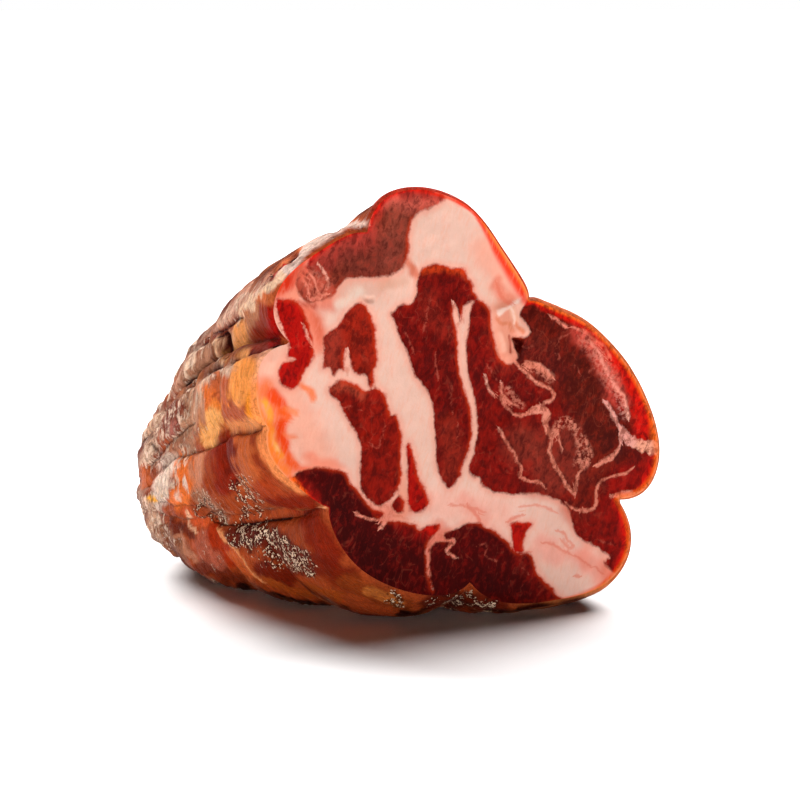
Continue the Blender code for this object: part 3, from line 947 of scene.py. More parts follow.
# %% [markdown]
# Widths are in pixels here, and depths and heights in millimetres. A stroke is pressed in or raised
# as a bell. It holds only where the skin faces the camera, so the strokes fade out as the skin turns
# away, and the waves of the next cell take over.

# %% Press the creases in and raise the threads
CREASE_SOFT = 2.6
RIDGE_SOFT = 1.6
CREASE_LINE = 0.6
SHOWN_FROM = (0.02, 0.22)


def same(pixels):
    """The skin's strokes stay in pixels, so their plane is the photo's own."""
    return pixels


def bell(gap, height, width):
    """height * exp(-(gap / width)^2)."""
    return height * np.exp(-((gap / width) ** 2))


def drawn_height(strokes, soft):
    """The highest bell at each point of the skin, soft pixels wider than its stroke."""
    height = np.zeros(len(seen_at))
    for width, most, pixels in strokes.values():
        height = np.maximum(height, bell(from_stroke(seen_at, pixels, same), most, width + soft))
    return height


rows = len(skin)
along_step = np.gradient(skin, axis=0)
round_step = np.roll(skin, -1, axis=1) - np.roll(skin, 1, axis=1)
normal = np.cross(along_step, round_step)
normal /= np.maximum(np.linalg.norm(normal, axis=-1, keepdims=True), TINY)
to_eye = EYE - skin
to_eye /= np.linalg.norm(to_eye, axis=-1, keepdims=True)
facing = (normal * to_eye).sum(axis=-1).reshape(-1)
shown = step(*SHOWN_FROM, facing)
seen_at = photo_of(skin).reshape(-1, 2)

crease_lines = [(width * CREASE_LINE, pixels) for width, _, pixels in CREASES.values()]
crease_across, crease_gap, crease_width = nearest_stroke(seen_at, crease_lines, same)
drawn = drawn_height(RIDGES, RIDGE_SOFT) - drawn_height(CREASES, CREASE_SOFT)
print("skin that faces the camera:", round(100 * float((facing > 0).mean())), "%")

# %% [markdown]
# The waves are squeezed along the spine, so their crests run round the piece as real wrinkles do.
# Taking one minus the size of a wave turns its zero lines into sharp valleys. At the tied end the
# casing is gathered in folds that all run to the knot. Behind the top of the cut the skin sinks a
# little, which lets the rim stand up as it does in the photo.

# %% Carve the skin
LUMP_HEIGHT = 0.35
VALLEY_DEPTH = 0.25
DRY_VALLEY_DEPTH = 0.35
WRINKLE_HEIGHT = 0.10
DRY_WRINKLE_HEIGHT = 0.22
CROSS_VALLEY_DEPTH = 0.30
GATHERS = 13
GATHER_HEIGHT = 0.8
STRING_DENT = (0.9, 1.3)
RING_DENT = (0.6, 1.2)
TOP_SAG = 0.8


def valleys_of(wave):
    """Sharp valleys where a wave crosses zero: -(1 - |wave|)^4."""
    return -((1 - np.clip(np.abs(wave), 0, 1)) ** 4)


body = straight.reshape(-1, 3)
column_of = column_grid.reshape(-1)
along_of = along_grid.reshape(-1)
string_gap = to_string.reshape(-1)
from_edge = along_of * SPINE_LENGTH
dry_spots = 0.5 * step(0.55, 0.9, 1 - np.abs(ripples(body, 18.0, 21)))
dry = np.clip(step(0.30, 0.85, along_of) + dry_spots, 0, 1)
gather_angle = np.radians(column_of)
gathers = np.cos(GATHERS * gather_angle + 2 * np.sin(3 * gather_angle))
skin_relief = (
    LUMP_HEIGHT * ripples(body, (13.0, 13.0, 11.0), 14)
    + (VALLEY_DEPTH + DRY_VALLEY_DEPTH * dry) * valleys_of(ripples(body, (16.0, 16.0, 2.4), 11))
    + (WRINKLE_HEIGHT + DRY_WRINKLE_HEIGHT * dry) * ripples(body, (7.0, 7.0, 1.5), 12)
    + CROSS_VALLEY_DEPTH * dry * valleys_of(ripples(body, (3.0, 3.0, 14.0), 13))
    + GATHER_HEIGHT * gathers * step(0.86, 0.97, along_of) * step(1.0, 0.97, along_of)
)
dents = np.maximum(bell(string_gap, *STRING_DENT), bell(to_ring.reshape(-1), *RING_DENT))
skin_relief = skin_relief - dents * (1 - shown) * step(0.05, 0.2, along_of)
behind_top = step(62, 80, column_of) * step(128, 112, column_of)
sag = behind_top * step(0, 10, from_edge) * step(60, 25, from_edge)
skin_relief = (skin_relief - TOP_SAG * sag) * step(0.0, 3.0, from_edge)
skin_relief = skin_relief + drawn * shown * step(0, 1.2, from_edge)
pushed = (skin_relief * step(1.0, 0.995, along_of)).reshape(rows, COLUMNS)
skin = skin + pushed[..., None] * normal
skin[..., 2] = np.maximum(skin[..., 2], 0.0)
print("relief of the skin from", skin_relief.min().round(2), "to", skin_relief.max().round(2), "mm")


# %% [markdown]
# ## Colours of the skin
#
# Under the thin casing lie the same fat and lean as in the cut: fat makes the skin orange, lean
# makes it dark red-brown, and where the casing has dried off the meat it is whitish. The hidden
# sides get such patches from waves, a little darker than they should look, because the strongest
# lights stand on that side.

# %% Lay the hidden colours
SKIN_TONE = (126, 60, 34)
patches = ripples(body, (15.0, 15.0, 10.0), 31) + 0.35 * ripples(body, (6.0, 6.0, 3.0), 32)
whitish = ripples(body, (9.0, 9.0, 3.0), 33)
hidden_layers = {
    "lean below": ((96, 32, 15), 0.9 * step(0.0, 0.5, patches)),
    "fat below": ((166, 90, 46), 0.85 * step(-0.15, -0.75, patches)),
    "dry casing": ((146, 100, 80), 0.75 * dry * step(-0.5, 0.5, whitish)),
    "chalky casing": ((172, 142, 124), 0.6 * dry * step(0.2, 0.9, whitish)),
    "string grooves": ((110, 40, 22), 0.5 * step(1.6, 0.2, string_gap)),
}
skin_tint = np.repeat(linear(*SKIN_TONE)[None], len(body), axis=0)
for colour, amount in hidden_layers.values():
    skin_tint = paint(skin_tint, colour, amount)
print(len(hidden_layers), "layers on the hidden sides")

# %% [markdown]
# The side in the photo is painted over them with strokes like those of the cut, but their half
# widths are in pixels. They go from large to small, as a painter would lay them. Some are painted
# light: shade in the creases and along the underside, and highlights on raised threads and on the
# left end.

# %% Draw the strokes of the side in the photo
BRUSH_STROKES = [
    (70, (172, 72, 32), 1.0, [(300, 240), (250, 300), (220, 400), (230, 520), (330, 570), (450, 600)]),
    (11, (224, 116, 68), 0.9, [(345, 216), (325, 226), (300, 242), (280, 262), (266, 280)]),
    (2.6, (150, 52, 26), 0.6, [(330, 226), (312, 238), (298, 247)]),
    (13, (214, 152, 126), 0.95, [(262, 280), (246, 294), (230, 308), (212, 326)]),
    (3.5, (238, 190, 164), 0.85, [(246, 297), (232, 310), (218, 323)]),
    (14, (184, 128, 98), 0.95, [(220, 344), (206, 356), (194, 370), (182, 384)]),
    (4.5, (118, 62, 38), 0.85, [(212, 344), (216, 352), (216, 360)]),
    (8, (204, 150, 126), 0.85, [(184, 358), (174, 374), (166, 388)]),
    (4, (196, 130, 66), 0.9, [(228, 352), (226, 358)]),
    (9, (200, 100, 54), 0.95, [(266, 299), (257, 311), (252, 322)]),
    (6, (186, 118, 80), 0.9, [(255, 312), (248, 326), (246, 342)]),
    (7, (244, 162, 94), 0.95, [(240, 326), (238, 338), (241, 352)]),
    (8, (140, 36, 12), 0.95, [(266, 311), (262, 326), (258, 342)]),
    (8, (164, 8, 1), 1.0, [(274, 312), (275, 326), (273, 342)]),
    (4, (98, 3, 1), 0.85, [(280, 330), (278, 344)]),
    (6, (236, 190, 160), 0.95, [(236, 363), (222, 370), (208, 379), (196, 390), (184, 402)]),
    (12, (252, 176, 138), 0.95, [(272, 358), (264, 370), (262, 384)]),
    (12, (255, 158, 78), 0.95, [(246, 368), (240, 382), (238, 396)]),
    (7, (255, 150, 34), 0.9, [(256, 390), (254, 402), (258, 416)]),
    (6, (208, 104, 60), 0.9, [(218, 378), (214, 388), (222, 400)]),
    (8, (234, 112, 42), 0.95, [(206, 392), (204, 402)]),
    (8, (188, 92, 60), 0.95, [(224, 404), (232, 412), (238, 420)]),
    (6, (242, 152, 92), 0.95, [(230, 426), (240, 426), (252, 424)]),
    (10, (252, 174, 100), 1.0, [(212, 416), (211, 428), (209, 438)]),
    (4, (250, 136, 54), 0.9, [(213, 404), (222, 406)]),
    (2.6, (178, 72, 32), 0.95, [(197, 404), (196, 416), (196, 430)]),
    (13, (204, 150, 118), 0.9, [(190, 400), (186, 420), (180, 444)]),
    (8, (124, 52, 36), 0.95, [(176, 406), (174, 416), (170, 428)]),
    (4, (186, 112, 98), 0.8, [(172, 424), (168, 434)]),
    (7, (226, 180, 150), 0.95, [(160, 410), (150, 436), (144, 462)]),
    (6, (170, 110, 84), 0.8, [(184, 440), (172, 449), (162, 458)]),
    (8, (212, 134, 98), 0.95, [(200, 460), (198, 476), (196, 490)]),
    (9, (158, 60, 24), 0.95, [(212, 452), (210, 470), (212, 486)]),
    (12, (138, 28, 5), 0.95, [(226, 446), (224, 462), (226, 484)]),
    (4, (110, 20, 3), 0.9, [(230, 444), (231, 470)]),
    (10, (196, 94, 46), 0.95, [(245, 440), (246, 462), (250, 484)]),
    (4, (148, 52, 20), 0.95, [(257, 438), (259, 456), (264, 472)]),
    (12, (166, 58, 22), 0.9, [(262, 490), (284, 500), (306, 504)]),
    (8, (124, 26, 4), 0.9, [(272, 502), (290, 503), (310, 503)]),
    (7, (180, 118, 88), 0.8, [(198, 498), (212, 510), (222, 516)]),
    (9, (244, 120, 50), 0.95, [(182, 460), (182, 480), (178, 500)]),
    # white on the left end and its sinews, this stroke and the next two: partly chalky casing, partly
    # painted highlight
    (8, (250, 220, 200), 0.95, [(168, 462), (162, 482), (158, 502)]),
    (1.5, (252, 222, 202), 0.9, [(186, 462), (183, 478), (185, 494)]),
    (1.4, (252, 212, 188), 0.8, [(178, 468), (175, 484), (177, 500)]),
    (4, (202, 92, 38), 0.95, [(143, 468), (142, 484)]),
    (3, (253, 172, 34), 1.0, [(149, 499), (155, 500)]),
    (5, (226, 92, 42), 0.8, [(184, 512), (194, 518), (205, 522)]),
    (1.8, (250, 194, 154), 0.85, [(185, 512), (190, 522), (194, 530)]),
    (8, (222, 172, 140), 0.9, [(146, 508), (150, 522), (158, 534)]),
    (9, (150, 92, 64), 0.95, [(164, 532), (172, 542), (182, 552)]),
    (5, (100, 34, 18), 0.9, [(173, 523), (180, 530), (188, 534)]),
    (10, (190, 96, 70), 0.95, [(202, 540), (208, 554), (216, 566)]),
    (1.8, (206, 140, 108), 0.6, [(177, 534), (190, 554), (205, 570)]),
    (8, (180, 50, 12), 0.95, [(214, 532), (224, 548), (234, 560)]),
    (5, (212, 98, 46), 0.9, [(232, 554), (242, 564), (250, 574)]),
    (6, (116, 40, 20), 0.9, [(200, 566), (222, 576), (240, 584)]),
    (2.4, (206, 110, 56), 0.8, [(166, 553), (176, 558)]),
    (13, (96, 22, 6), 0.95, [(240, 534), (262, 538), (290, 552)]),
    (8, (156, 62, 26), 0.9, [(294, 528), (299, 540)]),
    (13, (130, 28, 4), 0.95, [(312, 522), (318, 538), (330, 554)]),
    # this stroke and the next darken the low side towards the underside: partly the dark lean below,
    # partly painted shade
    (12, (114, 24, 4), 0.9, [(300, 566), (322, 566), (345, 578)]),
    (8, (108, 20, 4), 0.9, [(262, 568), (290, 578)]),
    (4, (170, 76, 24), 0.9, [(258, 578), (280, 585), (306, 591), (340, 596)]),
    # painted shade: near-black along the underside where the piece meets the floor
    (6.5, (22, 2, 1), 1.0, [(243, 591), (266, 597), (300, 604), (345, 611)]),
    (8, (148, 62, 22), 0.9, [(345, 580), (380, 596), (404, 604)]),
    (3.5, (206, 116, 52), 0.8, [(366, 590), (384, 598), (400, 602)]),
    # painted shade below the cut, darkest where the piece meets the floor: this stroke and the next two
    (10, (96, 24, 8), 0.95, [(430, 606), (465, 602), (500, 608)]),
    (6, (46, 6, 2), 1.0, [(520, 612), (550, 609), (582, 603)]),
    (4, (24, 2, 1), 1.0, [(400, 613), (440, 617), (480, 617), (520, 615)]),
    (5, (236, 120, 66), 0.7, [(300, 246), (315, 238)]),
    (4.2, (104, 10, 4), 0.95, [(290, 260), (296, 253)]),
    (3.6, (186, 22, 6), 1.0, [(278, 273), (284, 267)]),
    (3.2, (130, 20, 8), 0.95, [(266, 281), (273, 278)]),
    # painted shade along the layer crease
    (3.0, (120, 34, 16), 0.9, [(240, 316), (224, 328), (205, 341), (193, 353)]),
    (3.4, (240, 204, 188), 1.0, [
        (366, 224), (350, 227), (335, 233), (320, 242), (306, 251), (293, 265), (280, 278),
    ]),
    (2.6, (252, 206, 170), 1.0, [(282, 277), (266, 290), (252, 302), (242, 314), (237, 323)]),
    # pale on the raised lips round the pit and on the step to its left, this stroke and the next two:
    # partly the casing's tone, partly painted highlight
    (1.6, (244, 192, 152), 0.95, [(214, 342), (217, 351), (222, 361)]),
    (1.6, (240, 170, 118), 0.9, [(231, 332), (232, 343), (233, 352)]),
    (1.8, (244, 206, 176), 0.95, [(198, 347), (190, 357), (188, 367), (189, 378)]),
    # painted shade: near-black in the pit and along the deep crease, this stroke and the next two
    (4.2, (66, 8, 1), 1.0, [(221, 337), (224, 344), (227, 351)]),
    (2.6, (72, 6, 1), 1.0, [(286, 349), (271, 346), (262, 347), (250, 351), (238, 357)]),
    (3.0, (48, 3, 1), 1.0, [(226, 361), (211, 367), (200, 374), (188, 384)]),
    # painted highlight along the diagonal raised thread
    (1.9, (244, 156, 98), 1.0, [
        (218, 528), (226, 535), (233, 543), (240, 552), (247, 563), (254, 574), (264, 581),
    ]),
    # painted highlight on the raised flap
    (1.0, (236, 164, 116), 0.8, [(316, 510), (322, 508), (329, 506)]),
]
print(len(BRUSH_STROKES), "strokes on the skin")

# %% [markdown]
# The strokes waver as those of the cut do, and hold only where the skin faces the camera.

# %% Paint the side of the photo
SKIN_SOFT = 0.35
SKIN_WAVER = 2.4
brushed_at = wavering(seen_at, body, (4.0, 4.0, 2.6), (51, 52), SKIN_WAVER)
painted = painted_over(skin_tint, brushed_at, same, BRUSH_STROKES, SKIN_SOFT)
skin_tint = skin_tint + (painted - skin_tint) * shown[:, None]
print("mean tone of the skin", skin_tint.mean(axis=0).round(3))

# %% [markdown]
# Salt sits in patches low on the side that shows. Dried-off casing is chalky white on the top and
# at the tied end, and there the same white also stands in for the sheen of the skin, a painted
# highlight. Both are given as a density here, and the material scatters the grains and the white
# flecks.

# %% Sprinkle salt, and chalky white with its painted sheen
SALT = [
    (10, 0.8, [(240, 486), (248, 502), (254, 516)]), (15, 1.0, [(246, 532), (262, 540), (276, 552)]),
    (11, 1.0, [(276, 546), (290, 558), (306, 568)]), (6, 0.7, [(388, 599), (398, 601)]),
    (9, 0.8, [(436, 608), (462, 600), (490, 606)]), (9, 0.6, [(200, 508), (218, 516)]),
]
# white of dried casing, and painted sheen on the top band and the left end
CHALK_AND_SHEEN = [
    (8, 0.25, [(352, 214), (330, 226), (312, 240)]), (3, 0.3, [(345, 231), (318, 244), (300, 257)]),
    (10, 0.45, [(262, 286), (244, 300), (226, 318)]), (9, 0.45, [(206, 340), (192, 356), (180, 372)]),
    (7, 0.6, [(228, 366), (208, 379), (190, 394)]), (20, 0.6, [(184, 398), (164, 425), (152, 455)]),
    (9, 0.6, [(184, 452), (170, 472), (158, 500)]), (11, 0.6, [(150, 500), (156, 522), (168, 540)]),
    (8, 0.3, [(196, 540), (208, 556), (220, 568)]), (8, 0.4, [(198, 494), (212, 506), (226, 514)]),
    (5, 0.5, [(174, 440), (190, 434), (204, 430)]),
]
salt = densest(brushed_at, SALT, same) * shown
hidden_chalk = 0.7 * dry * step(-0.4, 0.8, whitish) * (1 - shown)
chalk_and_sheen = densest(brushed_at, CHALK_AND_SHEEN, same) * shown + hidden_chalk
print("salted:", round(100 * float((salt > 0.1).mean()), 1), "% of the skin's points")

# %% [markdown]
# The painted glow of the rim carries on round the edge of the cut: pale orange where the rim's
# orange line is deep, red over the top, and a duller orange for some millimetres on the right,
# partly the fat under the casing and partly painted glow.

# %% Carry the rim's painted glow over the edge
ORANGE_CARRY = 2.2
orange_reach = rim_reach(RIM_ORANGE, column_of)
red_reach = rim_reach(RIM_RED, column_of)
orange_carry = step(1.0, 0.2, from_edge / np.maximum(ORANGE_CARRY * orange_reach, 0.1))
at_top = step(54, 62, column_of) * step(122, 112, column_of)
from_right = (column_of + 180) % 360 - 180
at_right = step(62, 52, from_right) * step(-58, -46, from_right)
# painted glow carried over the edge; the duller orange on the right is partly the fat under the casing
for colour, amount in [
    ((252, 148, 84), 0.85 * orange_carry * step(0.2, 0.6, orange_reach)),
    ((206, 52, 30), 0.9 * step(2.4, 0.8, from_edge) * step(0.15, 0.6, red_reach) * at_top),
    ((206, 84, 34), 0.75 * at_right * step(10, 2, from_edge)),
]:
    skin_tint = paint(skin_tint, colour, amount)
print("orange over the edge for up to", round(ORANGE_CARRY * float(orange_reach.max()), 1), "mm")


# %% [markdown]
# ## The mesh
#
# The rows of the skin and the rings of the cut join along the rim into one closed body, and each
# end closes in a single point. The first material slot is the cut, the second the skin.

# %% Join skin and cut into one body
def quads_between(rings):
    """Quads between each ring of point numbers and the next one."""
    first = rings[:-1]
    second = rings[1:]
    corners = [first, second, np.roll(second, -1, axis=1), np.roll(first, -1, axis=1)]
    return np.stack(corners, axis=-1).reshape(-1, 4)


TURNED_OVER = [0, 3, 2, 1]
tie_number = rows * COLUMNS
centre_number = tie_number + 1 + len(cut) * COLUMNS
skin_numbers = np.arange(tie_number).reshape(rows, COLUMNS)
cut_numbers = np.arange(tie_number + 1, centre_number).reshape(-1, COLUMNS)
cut_numbers = np.vstack([skin_numbers[:1], cut_numbers])
last = skin_numbers[-1]
inner = cut_numbers[-1]

skin_quads = quads_between(skin_numbers)
cut_quads = quads_between(cut_numbers)[:, TURNED_OVER]
tie_fan = np.stack([last, np.full(COLUMNS, tie_number), np.roll(last, -1)], axis=1)
centre_fan = np.stack([inner, np.roll(inner, -1), np.full(COLUMNS, centre_number)], axis=1)
points = np.concatenate([skin.reshape(-1, 3), tie, cut.reshape(-1, 3), centre_of_cut[None]])
faces = skin_quads.tolist() + tie_fan.tolist() + cut_quads.tolist() + centre_fan.tolist()
mesh = bpy.data.meshes.new("coppa_half")
mesh.from_pydata((points * MM).tolist(), [], faces)
is_skin = np.zeros(len(faces), np.int32)
is_skin[: len(skin_quads) + len(tie_fan)] = 1
mesh.polygons.foreach_set("material_index", is_skin)
mesh.polygons.foreach_set("use_smooth", np.ones(len(faces), bool))
half = bpy.data.objects.new("coppa_half", mesh)
bpy.context.scene.collection.objects.link(half)
print("triangles:", 2 * (len(skin_quads) + len(cut_quads)) + len(tie_fan) + len(centre_fan))

# %% [markdown]
# The numbers worked out above go into the mesh as attributes. The points of the rim belong to the
# skin, so a field of the cut that has to reach the rim is written there too.

# %% Store the attributes
def behind_rim(values):
    """A field of the cut as the skin has it: its own numbers on the rim, and 0 behind it."""
    on_skin = np.zeros((len(body),) + values.shape[1:])
    on_skin[:COLUMNS] = values[:COLUMNS]
    return on_skin


def store(name, kind, on_skin, on_cut):
    """Write an attribute for all points: the skin's rows, the tie, the cut's rings, the centre."""
    tie_value = on_skin[-COLUMNS:].mean(axis=0, keepdims=True)
    values = np.concatenate([on_skin, tie_value, on_cut[COLUMNS:]])
    if kind == "FLOAT_COLOR":
        values = np.column_stack([values, np.ones(len(values))])
    key = {"FLOAT": "value", "FLOAT_VECTOR": "vector", "FLOAT_COLOR": "color"}[kind]
    attribute = mesh.attributes.new(name, kind, "POINT")
    attribute.data.foreach_set(key, values.astype(np.float32).ravel())


skin_zero = np.zeros(len(body))
cut_zero = np.zeros(len(places))
cut_body = np.column_stack([places - CUT_CENTRE[[0, 2]], cut_zero])
up_to_rim = {
    "lean": lean, "seam_across": seam_across, "seam_gap": seam_gap, "hair_across": hair_across,
    "hair_gap": hair_gap, "flush_across": flush_across, "flush_gap": flush_gap,
}
inside_rim = {"glow": glow, "lace": lace, "seam_width": seam_width, "flush_width": flush_width}
on_skin_only = {
    "crease_across": crease_across, "crease_gap": crease_gap, "crease_width": crease_width,
    "shown": shown, "dry": dry, "salt": salt, "chalk_and_sheen": chalk_and_sheen, "to_string": string_gap,
}
for name, field in up_to_rim.items():
    store(name, "FLOAT", behind_rim(field), field)
for name, field in inside_rim.items():
    store(name, "FLOAT", skin_zero, field)
for name, field in on_skin_only.items():
    store(name, "FLOAT", field, cut_zero)
store("lean_tint", "FLOAT_COLOR", behind_rim(lean_tint), lean_tint)
store("fat_tint", "FLOAT_COLOR", behind_rim(fat_tint), fat_tint)
store("skin_tint", "FLOAT_COLOR", skin_tint, np.zeros((len(places), 3)))
store("straight", "FLOAT_VECTOR", body, cut_body)
print("attributes:", len(mesh.attributes))


# %% [markdown]
# ## A small language for materials
#
# A material is a graph of nodes, and a formula written as nodes is hard to read. This class wraps
# the output of a node, so that plus, minus and times on it add Math nodes, and a material reads
# like the arithmetic that it is.

# %% Wrap sockets in arithmetic
class Number:
    """The output of a node in a material. Arithmetic on it adds Math nodes to the same material."""

    def __init__(self, painter, socket):
        self.painter = painter
        self.socket = socket

    def maths(self, operation, *values):
        """A Math node of one operation, with its inputs in order."""
        return self.painter.node("ShaderNodeMath", {"operation": operation}, dict(enumerate(values)))

    def __add__(self, other):
        return self.maths("ADD", self, other)

    def __sub__(self, other):
        return self.maths("SUBTRACT", self, other)

    def __rsub__(self, other):
        return self.maths("SUBTRACT", other, self)

    def __mul__(self, other):
        return self.maths("MULTIPLY", self, other)

    def __abs__(self):
        return self.maths("ABSOLUTE", self)

    __radd__ = __add__
    __rmul__ = __mul__


# %% [markdown]
# The other nodes come from a second class, one object for each material. A number or a colour goes
# straight into a socket, and a wrapped output becomes a link.

# %% Collect the nodes of a material
NO_TURN = (0.0, 0.0, 0.0)


class Painter:
    """One material: it adds nodes, and links them to the sockets of its Principled shader."""

    def __init__(self, name):
        self.material = bpy.data.materials.new(name)
        self.material.use_nodes = True
        self.tree = self.material.node_tree
        self.shader = self.tree.nodes["Principled BSDF"]

    def connect(self, socket, value):
        """Link a wrapped output to a socket, or write a number, a vector or a colour into it."""
        if isinstance(value, Number):
            self.tree.links.new(value.socket, socket)
        elif isinstance(value, (tuple, list, np.ndarray)):
            socket.default_value = tuple(value) + (1.0,) * (len(socket.default_value) - len(value))
        else:
            socket.default_value = value

    def node(self, kind, settings, values, output=0):
        """Add a node: its settings first, then a value or a link for each socket named."""
        added = self.tree.nodes.new(kind)
        for key, setting in settings.items():
            setattr(added, key, setting)
        for key, value in values.items():
            self.connect(added.inputs[key], value)
        return Number(self, added.outputs[output])

    def attribute(self, name, output="Fac"):
        """An attribute of the mesh, as a number, or as its "Color" or "Vector"."""
        return self.node("ShaderNodeAttribute", {"attribute_name": name}, {}, output)

    def scaled(self, colour, factor):
        """A colour made lighter or darker: each channel times the factor."""
        return self.node("ShaderNodeVectorMath", {"operation": "SCALE"}, {0: colour, 3: factor})

    def mix(self, first, second, amount):
        """first * (1 - amount) + second * amount, for colours."""
        return self.node("ShaderNodeMix", {"data_type": "RGBA"}, {0: amount, 6: first, 7: second}, 2)

    def layered(self, colour, layers):
        """A colour with screen colours laid over it in turn, each by its own amount."""
        for tone, amount in layers:
            colour = self.mix(colour, linear(*tone), amount)
        return colour

    def step(self, value, low, high):
        """0 at low, 1 at high, an S-curve between. Low may be the larger."""
        settings = {"interpolation_type": "SMOOTHSTEP"}
        if low < high:
            return self.node("ShaderNodeMapRange", settings, {0: value, 1: low, 2: high})
        return self.node("ShaderNodeMapRange", settings, {0: value, 1: high, 2: low, 3: 1.0, 4: 0.0})

    def stretched(self, vector, size, turn=NO_TURN):
        """Coordinates turned, then divided by a size for each axis, so a noise unit is that long."""
        point = {"vector_type": "POINT"}
        turned = self.node("ShaderNodeMapping", point, {"Vector": vector, "Rotation": turn})
        inverse = tuple(1 / length for length in size)
        return self.node("ShaderNodeMapping", point, {"Vector": turned, "Scale": inverse})

    def noise(self, vector, size, detail=2.0, rough=0.5, distortion=0.0, turn=NO_TURN):
        """Fractal noise with spots of a size for each axis, near 0.5 on average."""
        values = {"Vector": self.stretched(vector, size, turn), "Scale": 1.0, "Detail": detail}
        values |= {"Roughness": rough, "Distortion": distortion}
        return self.node("ShaderNodeTexNoise", {}, values, "Fac")

    def stroke(self, name, half_width, wobble, edge, reach):
        """1 on the strokes stored under a name: where |signed distance + wobble| is less than the
        half width. Edge and reach are the soft limits of that, and of the plain distance."""
        across = abs(self.attribute(name + "_across") + wobble) - half_width
        near = self.step(self.attribute(name + "_gap") - half_width, *reach)
        return self.step(across, *edge) * near

    def bump(self, height, strength, distance):
        """The normal of a surface with a fine height on it, distance metres for each unit."""
        values = {"Height": height, "Strength": strength, "Distance": distance}
        return self.node("ShaderNodeBump", {}, values, "Normal")

    def finish(self, **values):
        """Connect the shader's sockets by name, with _ for a space, and give the material."""
        for name, value in values.items():
            self.connect(self.shader.inputs[name.replace("_", " ")], value)
        return self.material


# %% [markdown]
# ## The finish of the cut
#
# Lean is dark and grainy, with muscle fibres that run through it at a slant. Fat is smooth and
# waxy. Their border wanders a little, which keeps the drawn outlines from looking cut out.
# All of that comes from six noises, the last four of them drawn out along the fibres.

# %% Make the noises of the cut
FIBRE_TURN = (0.0, np.radians(-16), 0.0)
cut_face = Painter("cut_face")
where = cut_face.node("ShaderNodeTexCoord", {}, {}, "Object")
grain = cut_face.noise(where, (0.0009, 0.0009, 0.0009), 2.0, 0.6)
wander = cut_face.noise(where, (0.0024, 0.0024, 0.0024), 3.0, 0.6)
blotch = cut_face.noise(where, (0.0032, 0.0032, 0.0046), 3.0, 0.6, 0.6, FIBRE_TURN)
mottle = cut_face.noise(where, (0.0016, 0.0016, 0.0024), 5.0, 0.66, 0.5, FIBRE_TURN)
fibre = cut_face.noise(where, (0.0008, 0.0008, 0.0034), 3.0, 0.65, 0.6, FIBRE_TURN)
thread = cut_face.noise(where, (0.0046, 0.0046, 0.0064), 2.0, 0.5, 1.0, FIBRE_TURN)
print("noises of the cut use", len(cut_face.tree.nodes), "nodes")

# %% [markdown]
# The stored distances decide what is lean and what is fat. Seams and lace let the fat through the
# lean, in shreds where the noise says so.

# %% Tell lean from fat
LINE_EDGE = (0.44, -0.28)
LINE_REACH = (0.95, 0.55)
lean_depth = cut_face.attribute("lean")
rough_edge = (wander - 0.5) * 1.7 + (grain - 0.5) * 0.5
wobble = (wander - 0.5) * 1.6 + (grain - 0.5) * 0.8
seam_half = cut_face.attribute("seam_width") * (0.05 + 1.2 * blotch)
hair_half = 0.10 + 0.3 * (blotch - 0.3)
flush_half = cut_face.attribute("flush_width") * 0.8
seam = cut_face.stroke("seam", seam_half, wobble, LINE_EDGE, LINE_REACH)
hair = cut_face.stroke("hair", hair_half, wobble, LINE_EDGE, LINE_REACH)
flush = cut_face.stroke("flush", flush_half, wobble, LINE_EDGE, LINE_REACH)
in_lean = cut_face.step(lean_depth + rough_edge, -0.48, 0.50)
in_lean = in_lean * (1 - seam * (0.45 + 0.55 * cut_face.step(mottle, 0.38, 0.56)))
in_lean = in_lean * (1 - cut_face.attribute("lace") * cut_face.step(grain, 0.38, 0.64))
print("with the masks they are", len(cut_face.tree.nodes), "nodes")

# %% [markdown]
# The lean is the painted tone made lighter and darker by the noises, with dark and bright spots,
# fibres and the finest veins laid over it. Its edges that face the light get a painted orange-red
# glow. The fat is flushed along fibres and near lean, and redder in its own thin veins.

# %% Make the cut's material
SPECULAR = 0.04
fine_vein = cut_face.step(abs(thread - 0.5), 0.034, 0.004) * cut_face.step(blotch, 0.46, 0.60)
lit_edge = cut_face.attribute("glow") * cut_face.step(lean_depth + rough_edge * 0.5, 1.5, 0.0)
lean_light = 0.30 + 1.2 * blotch + 0.35 * cut_face.step(mottle, 0.46, 0.62)
lean_colour = cut_face.scaled(cut_face.attribute("lean_tint", "Color"), lean_light)
lean_colour = cut_face.layered(lean_colour, [
    ((168, 32, 16), cut_face.step(mottle, 0.50, 0.64) * 0.20),
    ((66, 2, 1), cut_face.step(mottle, 0.50, 0.38) * 0.52),
    ((172, 36, 20), cut_face.step(fibre, 0.54, 0.78) * 0.18),
    ((190, 84, 62), fine_vein * 0.14),
    # painted glow on the lean's edges that face the light
    ((206, 50, 10), lit_edge * 0.7),
    ((200, 96, 76), hair * cut_face.step(mottle, 0.40, 0.62) * 0.5),
])
fat_light = 0.86 + 0.16 * blotch + 0.14 * mottle
fat_colour = cut_face.scaled(cut_face.attribute("fat_tint", "Color"), fat_light)
fat_colour = cut_face.layered(fat_colour, [
    ((248, 158, 132), cut_face.step(fibre, 0.46, 0.70) * 0.28),
    ((244, 140, 112), cut_face.step(lean_depth, -2.2, 0.0) * 0.40),
    ((206, 98, 70), seam * cut_face.step(mottle, 0.56, 0.40) * 0.45),
    ((236, 116, 90), flush * 0.6),
])
cut_height = in_lean * -0.15 + fibre * in_lean * 0.5 + grain * 0.25
